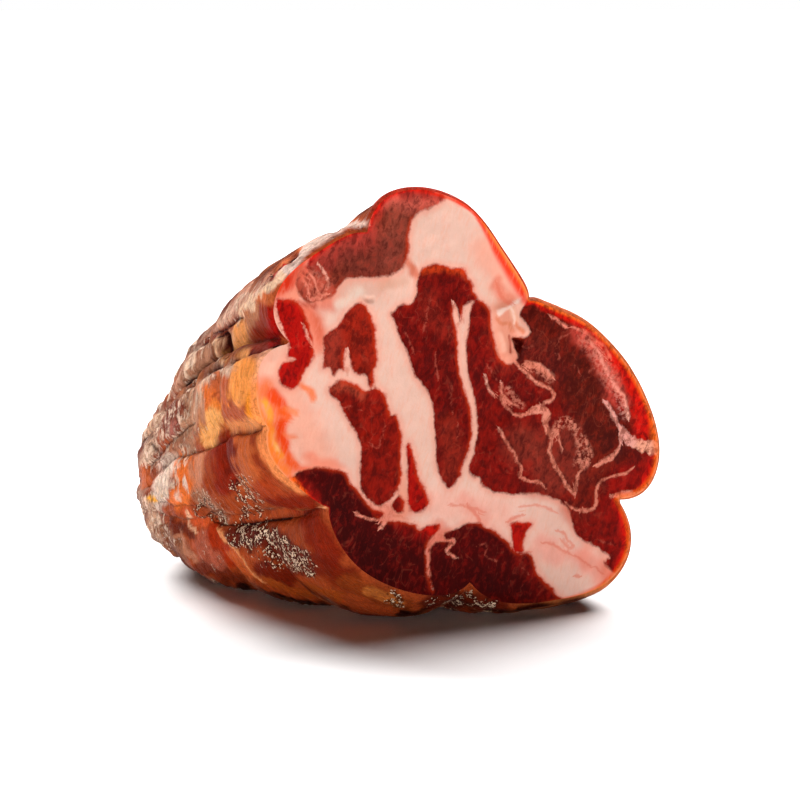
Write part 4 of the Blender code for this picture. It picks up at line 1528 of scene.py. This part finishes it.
cut_look = cut_face.finish(
    Base_Color=cut_face.mix(fat_colour, lean_colour, in_lean),
    Roughness=0.42 + 0.16 * blotch,
    Normal=cut_face.bump(cut_height, 0.6, 0.0004),
    Subsurface_Weight=0.12,
    Subsurface_Radius=(0.0020, 0.0008, 0.0005),
    Subsurface_Scale=1.0,
    Specular_IOR_Level=SPECULAR,
)
print("cut_face has", len(cut_face.tree.nodes), "nodes")

# %% [markdown]
# ## The finish of the skin
#
# The casing is thin and dry. Its finest wrinkles go round the piece, too fine for the mesh, so they
# are noise stretched in the straightened body, whose units are millimetres.

# %% Make the noises of the skin
casing = Painter("casing")
straightened = casing.attribute("straight", "Vector")
wrinkle = casing.noise(straightened, (6.0, 6.0, 1.5), 4.0, 0.62, 0.5)
weave = casing.noise(straightened, (1.9, 1.9, 0.9), 3.0, 0.6, 0.3)
tone = casing.noise(straightened, (4.2, 4.2, 3.0), 4.0, 0.62, 0.8)
lengthwise = casing.noise(straightened, (1.4, 1.4, 5.5), 3.0, 0.6, 0.5)
pores = casing.noise(straightened, (0.8, 0.8, 0.6), 3.0, 0.7)
crumb = casing.noise(straightened, (0.5, 0.5, 0.5), 1.0)
crumb_lean = casing.noise(straightened, (2.6, 2.6, 2.6))
print("noises of the skin use", len(casing.tree.nodes), "nodes")

# %% [markdown]
# Dry casing turns whitish on the crests, and where the chalky white carries a painted sheen that
# white is a painted highlight too. The creases are painted nearly black inside, with a brown border,
# as shade. On the hidden sides the skin is darker along each string's groove.

# %% Tell the white flecks, the creases' painted shade and the string grooves from plain skin
CREASE_EDGE = (0.9, -0.5)
BORDER_EDGE = (3.4, 0.4)
CREASE_REACH = (5.0, 3.0)
shown_here = casing.attribute("shown")
chalk_and_sheen_cover = casing.attribute("chalk_and_sheen")
line = casing.step(abs(wrinkle - 0.5), 0.05, 0.0)
flake_height = wrinkle * 0.40 + lengthwise * 0.20 + weave * 0.25 + pores * 0.15
# white flecks on the crests: dried casing, and painted sheen where the chalky white carries it
flakes_and_sheen = casing.step(flake_height + chalk_and_sheen_cover * 0.16, 0.585, 0.645)
flakes_and_sheen = flakes_and_sheen * casing.step(chalk_and_sheen_cover, 0.02, 0.25)

crease_shift = (tone - 0.5) * 2.2
crease_half = casing.attribute("crease_width") * (0.3 + 1.3 * weave)
crease_weight = shown_here * casing.step(casing.attribute("crease_width"), 0.2, 0.75)
# painted shade inside the creases and along their border, where the shader darkens them
crease = casing.stroke("crease", crease_half, crease_shift, CREASE_EDGE, CREASE_REACH) * crease_weight
border = casing.stroke("crease", crease_half, crease_shift, BORDER_EDGE, CREASE_REACH) * crease_weight
string_groove_dark = casing.step(casing.attribute("to_string") + (tone - 0.5) * 1.2, 0.7, 0.2)
string_groove_dark = string_groove_dark * (1 - shown_here)
print("with the masks they are", len(casing.tree.nodes), "nodes")


# %% [markdown]
# Salt is grains on a dark, damp ground. A Voronoi texture cuts the skin into cells, and each cell
# has a random colour of its own, so a cell becomes a grain if its number is high enough where the
# skin is salty. Two sizes of cells keep the grains from looking sown.

# %% Scatter the salt
def grains_of(size, share):
    """Irregular grains of one size: cells that win a lottery, weighted by how salty the skin is."""
    cells = {"Vector": casing.stretched(straightened, (size, size, size)), "Scale": 1.0}
    to_grain = casing.node("ShaderNodeTexVoronoi", {}, cells, "Distance")
    ticket = casing.node("ShaderNodeTexVoronoi", {}, cells, "Color")
    luck = casing.node("ShaderNodeSeparateColor", {}, {"Color": ticket}, "Red")
    solid = casing.step(to_grain + (crumb - 0.5) * 1.1, 0.56, 0.40)
    return solid * casing.step(luck + salt_cover * share, 0.92, 1.0)


salt_cover = casing.attribute("salt") * casing.step(crumb_lean, 0.40, 0.62)
grains = grains_of(0.82, 0.48) + grains_of(0.50, 0.50)
grains = casing.step(grains, 0.1, 0.9) * casing.step(salt_cover, 0.02, 0.2)
damp = casing.step(crumb_lean, 0.34, 0.50) * casing.step(salt_cover, 0.1, 0.4)
print("with the salt they are", len(casing.tree.nodes), "nodes")

# %% [markdown]
# The painted tone of the skin is made lighter and darker by the noises. The masks are laid over it
# from the lowest to the highest: wrinkles first, then the white flecks with their painted sheen and
# the painted shade of the creases, and the salt on top.

# %% Make the skin's material
skin_light = 0.75 * tone + 0.60 * weave + 0.70 * pores
skin_colour = casing.scaled(casing.attribute("skin_tint", "Color"), skin_light)
skin_colour = casing.layered(skin_colour, [
    ((84, 18, 6), line * (0.25 + 0.60 * chalk_and_sheen_cover)),
    ((110, 28, 8), casing.step(lengthwise, 0.44, 0.28) * 0.35),
    # white flecks: dried casing, and a painted highlight where the chalky white carries sheen
    ((248, 212, 186), flakes_and_sheen * 0.75),
    # painted shade in the creases and along their border
    ((84, 20, 8), border * 0.45),
    ((40, 4, 1), crease * 0.92),
    ((56, 14, 6), string_groove_dark * 0.8),
    ((58, 10, 4), damp * 0.75),
    ((255, 222, 190), grains * 0.95),
])
fine_height = wrinkle * 1.1 + weave * 0.6 + pores * 0.35 + tone * 0.5
skin_look = casing.finish(
    Base_Color=skin_colour,
    Roughness=0.30 + 0.22 * tone + casing.attribute("dry") * 0.08 + grains * 0.3,
    Normal=casing.bump(fine_height + grains * 0.5 + flakes_and_sheen * 0.35 - crease * 0.8, 0.9, 0.0012),
    Subsurface_Weight=0.08,
    Subsurface_Radius=(0.0020, 0.0008, 0.0004),
    Subsurface_Scale=1.0,
    Specular_IOR_Level=SPECULAR,
)
mesh.materials.append(cut_look)
mesh.materials.append(skin_look)
print("casing has", len(casing.tree.nodes), "nodes")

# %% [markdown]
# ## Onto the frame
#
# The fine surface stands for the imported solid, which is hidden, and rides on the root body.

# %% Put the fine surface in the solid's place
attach(half, "root")
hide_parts(NODE)

# %% [markdown]
# ## Floor and light
#
# The photo was taken on a white sheet. Two wide, soft lights stand behind the piece, to the right
# and to the left. Their shadows cross only in front of its middle, so the shadow is dark there and
# nearly gone at both ends, as in the photo. They also light the rims from behind. A low light from
# the front fills the cut, and a low, warm one from the left fills the skin.

# %% Lay the floor
FLOOR_HALF = 100.0
FLOOR_DROP = 0.0002
corner_signs = [(-1, -1), (1, -1), (1, 1), (-1, 1)]
floor_corners = [(x * FLOOR_HALF, y * FLOOR_HALF, -FLOOR_DROP) for x, y in corner_signs]
floor_mesh = bpy.data.meshes.new("floor")
floor_mesh.from_pydata(floor_corners, [], [(0, 1, 2, 3)])
floor = bpy.data.objects.new("floor", floor_mesh)
bpy.context.scene.collection.objects.link(floor)
paper = Painter("white_paper")
floor_mesh.materials.append(paper.finish(Base_Color=(0.9, 0.9, 0.9), Roughness=0.9))
print("floor of", 2 * FLOOR_HALF, "m")


# %% Set the lights
def sun(name, azimuth, elevation, strength, softness, colour):
    """A distant lamp that shines from an azimuth and an elevation, softness degrees wide."""
    lamp = bpy.data.objects.new(name, bpy.data.lights.new(name, "SUN"))
    lamp.data.energy = strength
    lamp.data.angle = np.radians(softness)
    lamp.data.color = colour
    lamp.rotation_euler = (np.radians(90 - elevation), 0, np.radians(azimuth))
    bpy.context.scene.collection.objects.link(lamp)


WHITE = (1.0, 1.0, 1.0)
WARM = (1.0, 0.86, 0.74)
sun("back_light_right", azimuth=112, elevation=48, strength=4.7, softness=30, colour=WHITE)
sun("back_light_left", azimuth=205, elevation=48, strength=4.7, softness=30, colour=WHITE)
sun("front_light", azimuth=-26, elevation=1.5, strength=1.4, softness=3, colour=WHITE)
sun("left_light", azimuth=-90, elevation=2, strength=0.8, softness=3, colour=WARM)
print("lights:", len(bpy.data.lights))

# %% [markdown]
# The world is white for the camera and dark for everything else, so the background is as white as
# paper and only the lamps light the meat.

# %% Make the background white
world = bpy.data.worlds.new("studio")
world.use_nodes = True
nodes = world.node_tree.nodes
nodes["Background"].inputs["Color"].default_value = (1, 1, 1, 1)
rays = nodes.new("ShaderNodeLightPath")
strength = nodes.new("ShaderNodeMapRange")
strength.inputs["To Min"].default_value = 0.0
strength.inputs["To Max"].default_value = 1.0
world.node_tree.links.new(rays.outputs["Is Camera Ray"], strength.inputs["Value"])
world.node_tree.links.new(strength.outputs["Result"], nodes["Background"].inputs["Strength"])
bpy.context.scene.world = world
bpy.context.scene.view_settings.view_transform = "Standard"
print("view transform:", bpy.context.scene.view_settings.view_transform)
